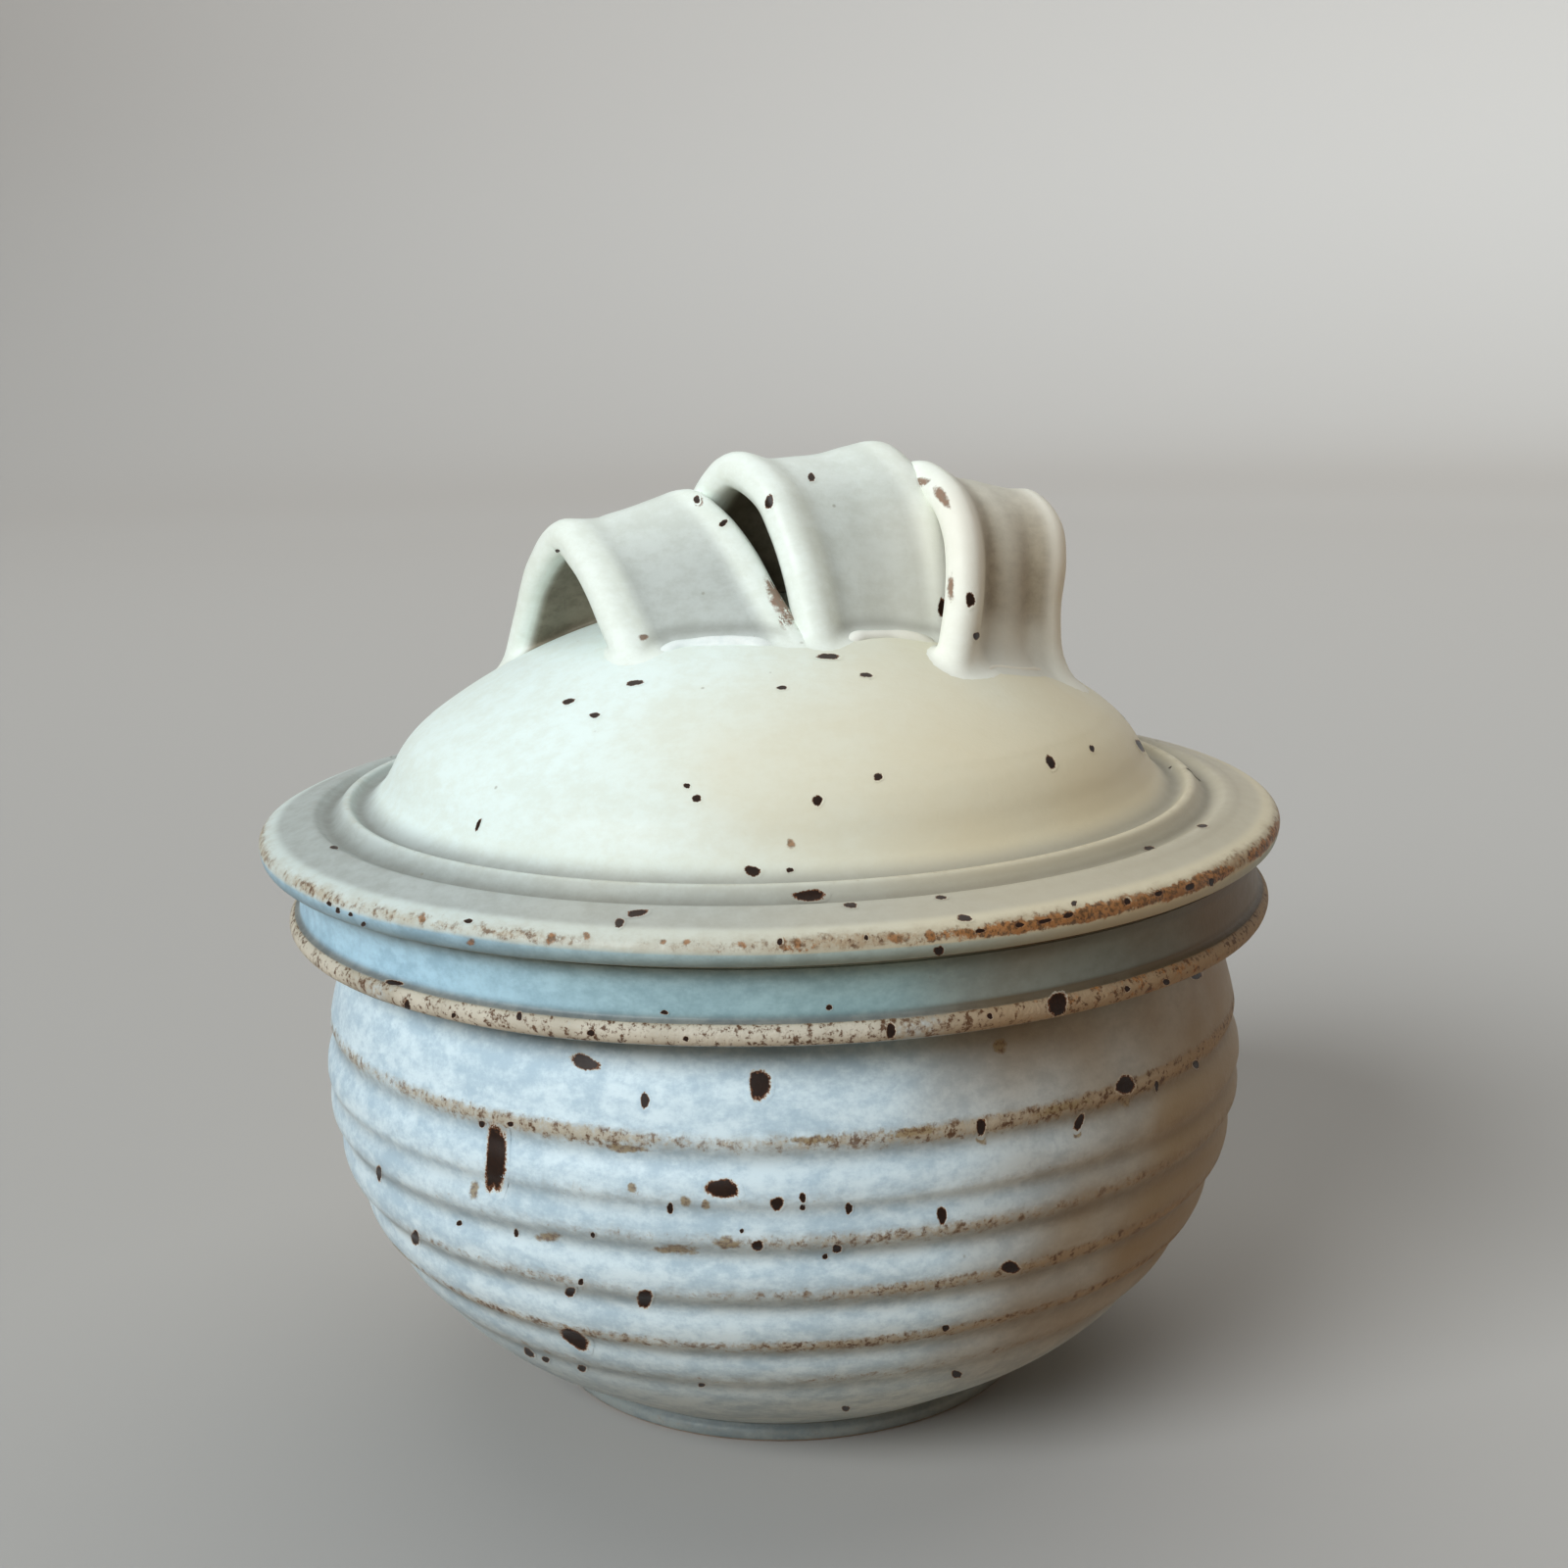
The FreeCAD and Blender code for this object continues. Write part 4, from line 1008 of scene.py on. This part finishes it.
class Spots:
    """Patches that lie a hair above a host's skin and carry one painted layer."""

    def __init__(self, host):
        self.host = host
        self.points, self.faces, self.normals, self.under = [], [], [], []
        self.layers = {"iron": [], "stain": []}

    def add(self, layer, aim, draw, power=ROUND):
        """aim(a, b) is the ray for a place of the unit disc. Where a spot would run over an edge
        of its host it stops there."""
        phases = [draw.uniform(0, math.tau) for _ in range(4)]
        centre = self.host.touch(*aim(0, 0))
        if centre is None:
            return
        reach = SPOT_LEAST
        for a, b in ((0.5, 0), (-0.5, 0), (0, 0.5), (0, -0.5)):
            hit = self.host.touch(*aim(a, b))
            if hit and (hit[0] - centre[0]).length < SPOT_FAR:
                reach = max(reach, (hit[0] - centre[0]).length * 2)
        rings = int(np.clip(reach * SPOT_EDGE / SPOT_CELL, *SPOT_RINGS))
        sides = int(np.clip(reach * math.tau / SPOT_CELL, *SPOT_SIDES))
        turn = np.arange(sides) / sides * math.tau
        edge = sum((size * np.sin(count * turn + phase) for count, size, phase in
                    zip((2, 3, 4, 7), (0.06, 0.06, 0.03, 0.03), phases)), 1)
        edge /= (abs(np.cos(turn)) ** power + abs(np.sin(turn)) ** power) ** (1 / power)
        found = [[centre] * sides]
        limit = [SPOT_EDGE] * sides
        for number in range(1, rings + 1):
            ring = SPOT_EDGE * number / rings
            row = []
            for side, (x, y) in enumerate(zip(edge * np.cos(turn), edge * np.sin(turn))):
                last = found[-1][side]
                hit = self.host.touch(*aim(ring * x, ring * y)) if ring <= limit[side] else None
                if hit is None or (hit[0] - last[0]).length > SPOT_JUMP:
                    limit[side] = min(limit[side], ring - 0.001)
                    hit = last
                row.append(hit)
            found.append(row)
        start = len(self.points)
        for number, row in enumerate(found):
            for place, normal, _, under in row:
                self.points.append(place + normal * SPOT_LIFT[layer])
                self.normals.append(normal)
                self.under.append(under)
                for name, values in self.layers.items():
                    values.append(1 - number / rings if name == layer else 0.0)
        for face in grid_faces(rings + 1, sides):
            self.faces.append(tuple(start + corner for corner in face))

    def finish(self, name):
        mesh = bpy.data.meshes.new(name)
        mesh.from_pydata(self.points, [], self.faces)
        mesh.shade_smooth()
        mesh.normals_split_custom_set_from_vertices(self.normals)
        thing = add_object(name, mesh)
        paint(thing, **self.layers)
        paint(thing, **dict(zip(LAYERS, np.array(self.under).T)))
        return thing


def seen_aim(px, py, width, height, tilt=0):
    """Rays through the photograph's pixels, for a spot that it shows."""
    cosine, sine = math.cos(math.radians(tilt)), math.sin(math.radians(tilt))
    origin = CAMERA_PLACE * MM

    def aim(a, b):
        x, y = a * width / 2, b * height / 2
        return origin, sight(px + x * cosine - y * sine, py + x * sine + y * cosine)
    return aim


def facing_aim(place, out, up, width, height):
    """Rays towards a place from outside, for a spot that the photograph doesn't show."""
    side = up.cross(out).normalized()
    up = out.cross(side).normalized()

    def aim(a, b):
        start = place + out * 10 + side * (a * width / 2) + up * (b * height / 2)
        return start * MM, -out
    return aim


def lay_spots(hosts):
    """Spots on every piece: first the ones seen in the photograph, then seeded ones elsewhere."""
    spots = {name: Spots(host) for name, host in hosts.items()}
    draw = random.Random(SPOT_SEED)
    on_bowl, on_lid, on_loop = SPOT_COUNTS
    for layer, rows in (("iron", SEEN_IRON), ("stain", SEEN_STAINS)):
        for row in rows:
            aim = seen_aim(*row)
            touched = {name: host.touch(*aim(0, 0)) for name, host in hosts.items()}
            distances = {name: hit[2] for name, hit in touched.items() if hit}
            if distances:
                power = SQUARE if row[3] > 3 * row[2] else ROUND
                spots[min(distances, key=distances.get)].add(layer, aim, draw, power)
    for _ in range(on_bowl):
        angle = draw.uniform(math.radians(78), math.radians(282))
        height = draw.uniform(12, 94)
        out = Vector((math.sin(angle), -math.cos(angle), 0))
        size = min(0.7 * math.exp(draw.gauss(0.1, 0.55)), 3.6)
        aim = facing_aim(out * 95 + UP * height, out, UP, size, size * draw.uniform(0.8, 1.9))
        spots["bowl"].add("iron" if draw.random() < 0.8 else "stain", aim, draw)
    for _ in range(on_lid):
        angle = draw.uniform(math.radians(88), math.radians(272))
        radius = math.sqrt(draw.uniform(40 ** 2, 93 ** 2))
        over = Vector((LID_AXIS + radius * math.sin(angle), -radius * math.cos(angle), 150))
        size = min(0.7 * math.exp(draw.gauss(0.05, 0.45)), 2.6)
        aim = facing_aim(over, UP, Vector((0, 1, 0)), size, size * draw.uniform(0.7, 1.5))
        spots["lid"].add("iron" if draw.random() < 0.85 else "stain", aim, draw)
    for loop, middle in LOOP_MIDDLES.items():
        for _ in range(on_loop):
            out = Vector((draw.uniform(-0.4, 0.4), 1.0, draw.uniform(0.0, 0.9))).normalized()
            place = Vector((draw.uniform(-1, 1) * 9, 4, draw.uniform(-6, 10))) + middle
            size = draw.uniform(0.5, 1.1)
            aim = facing_aim(place + out * 25, out, UP, size, size * 1.3)
            spots[loop].add("iron", aim, draw)
    return {name: item.finish(name + "_iron_spots") for name, item in spots.items()}


# Stage and light

def make_stage(sides=96):
    """A round floor that curves up into a wall."""
    outline = chain(([(0.0, 0.0), (1500.0, 0.0)], 60.0),
                    (spline([(1500, 0), (1900, 40), (2200, 260), (2330, 620), (2360, 1000)]), 60.0))
    angle, radius = np.meshgrid(np.arange(sides) / sides * math.tau, outline[1:, 0])
    grid = round_axis(0.0, angle, radius, np.repeat(outline[1:, 1:], sides, axis=1))
    points = np.vstack([grid.reshape(-1, 3), [(0, 0, 0)]])
    middle = [(len(points) - 1, (j + 1) % sides, j) for j in range(sides)]
    stage = new_object("studio_cove", points, grid_faces(len(grid), sides) + middle)
    material, g, shader = new_material("studio_paper")
    shader["Roughness"].default_value = 0.9
    # The paper looks pale, but throws little light back up at the pot.
    rays = g.node("ShaderNodeLightPath")
    looked_at = g.math("MAXIMUM", rays["Is Camera Ray"],
                       g.math("MAXIMUM", rays["Is Glossy Ray"], rays["Is Transmission Ray"]))
    g.feed(shader["Base Color"], g.mix(looked_at, "light off the paper", "paper"))
    stage.data.materials.append(material)


def make_lights():
    for name, strength, tone, spread, place in (
            ("window", 4.05, (0.95, 0.985, 1.0), 38, (-0.60, -0.66, 0.45)),
            ("ceiling", 1.15, (1.0, 0.97, 0.91), 70, (0.05, 0.42, 0.90))):
        data = bpy.data.lights.new(name, "SUN")
        data.energy = strength
        data.color = tone
        data.angle = math.radians(spread)
        lamp = add_object(name, data)
        lamp.rotation_euler = Vector(place).to_track_quat("Z", "Y").to_euler()
    world = bpy.data.worlds.new("soft_room")
    world.use_nodes = True
    g = Graph(world.node_tree)
    background = g.tree.nodes["Background"].inputs
    g.feed(background["Color"], "sky")
    g.feed(background["Strength"], 0.12)
    scene.world = world


# Assembly

make_camera()
make_stage()
make_lights()
scene.view_settings.view_transform = "Standard"

glazes = make_glazes()
bowl = make_bowl()
lid = make_lid()
pieces = [(bowl, "bowl", "bowl_glaze", "bowl"), (lid, "lid", "lid_glaze", "lid")]
hosts = {"bowl": Host(bowl), "lid": Host(lid)}
for loop in EDGES:
    strap, grid, share, high = make_strap(loop)
    pieces.append((strap, "lid", "handle_glaze", "handle_loop_" + loop))
    hosts[loop] = Host(strap)
    for end in ("front", "rear"):
        bead = make_bead(loop, end, grid, share, high)
        pieces.append((bead, "lid", "luting_glaze", "%s_loop_%s_coil" % (loop, end)))
for name, spots in lay_spots(hosts).items():
    body = "bowl" if name == "bowl" else "lid"
    slot = name + "_glaze" if name in ("bowl", "lid") else "handle_glaze"
    pieces.append((spots, body, slot, None))

for piece, body, slot, node in pieces:
    piece.data.materials.append(glazes[slot])
    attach(piece, body)
    if node:
        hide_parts(node)
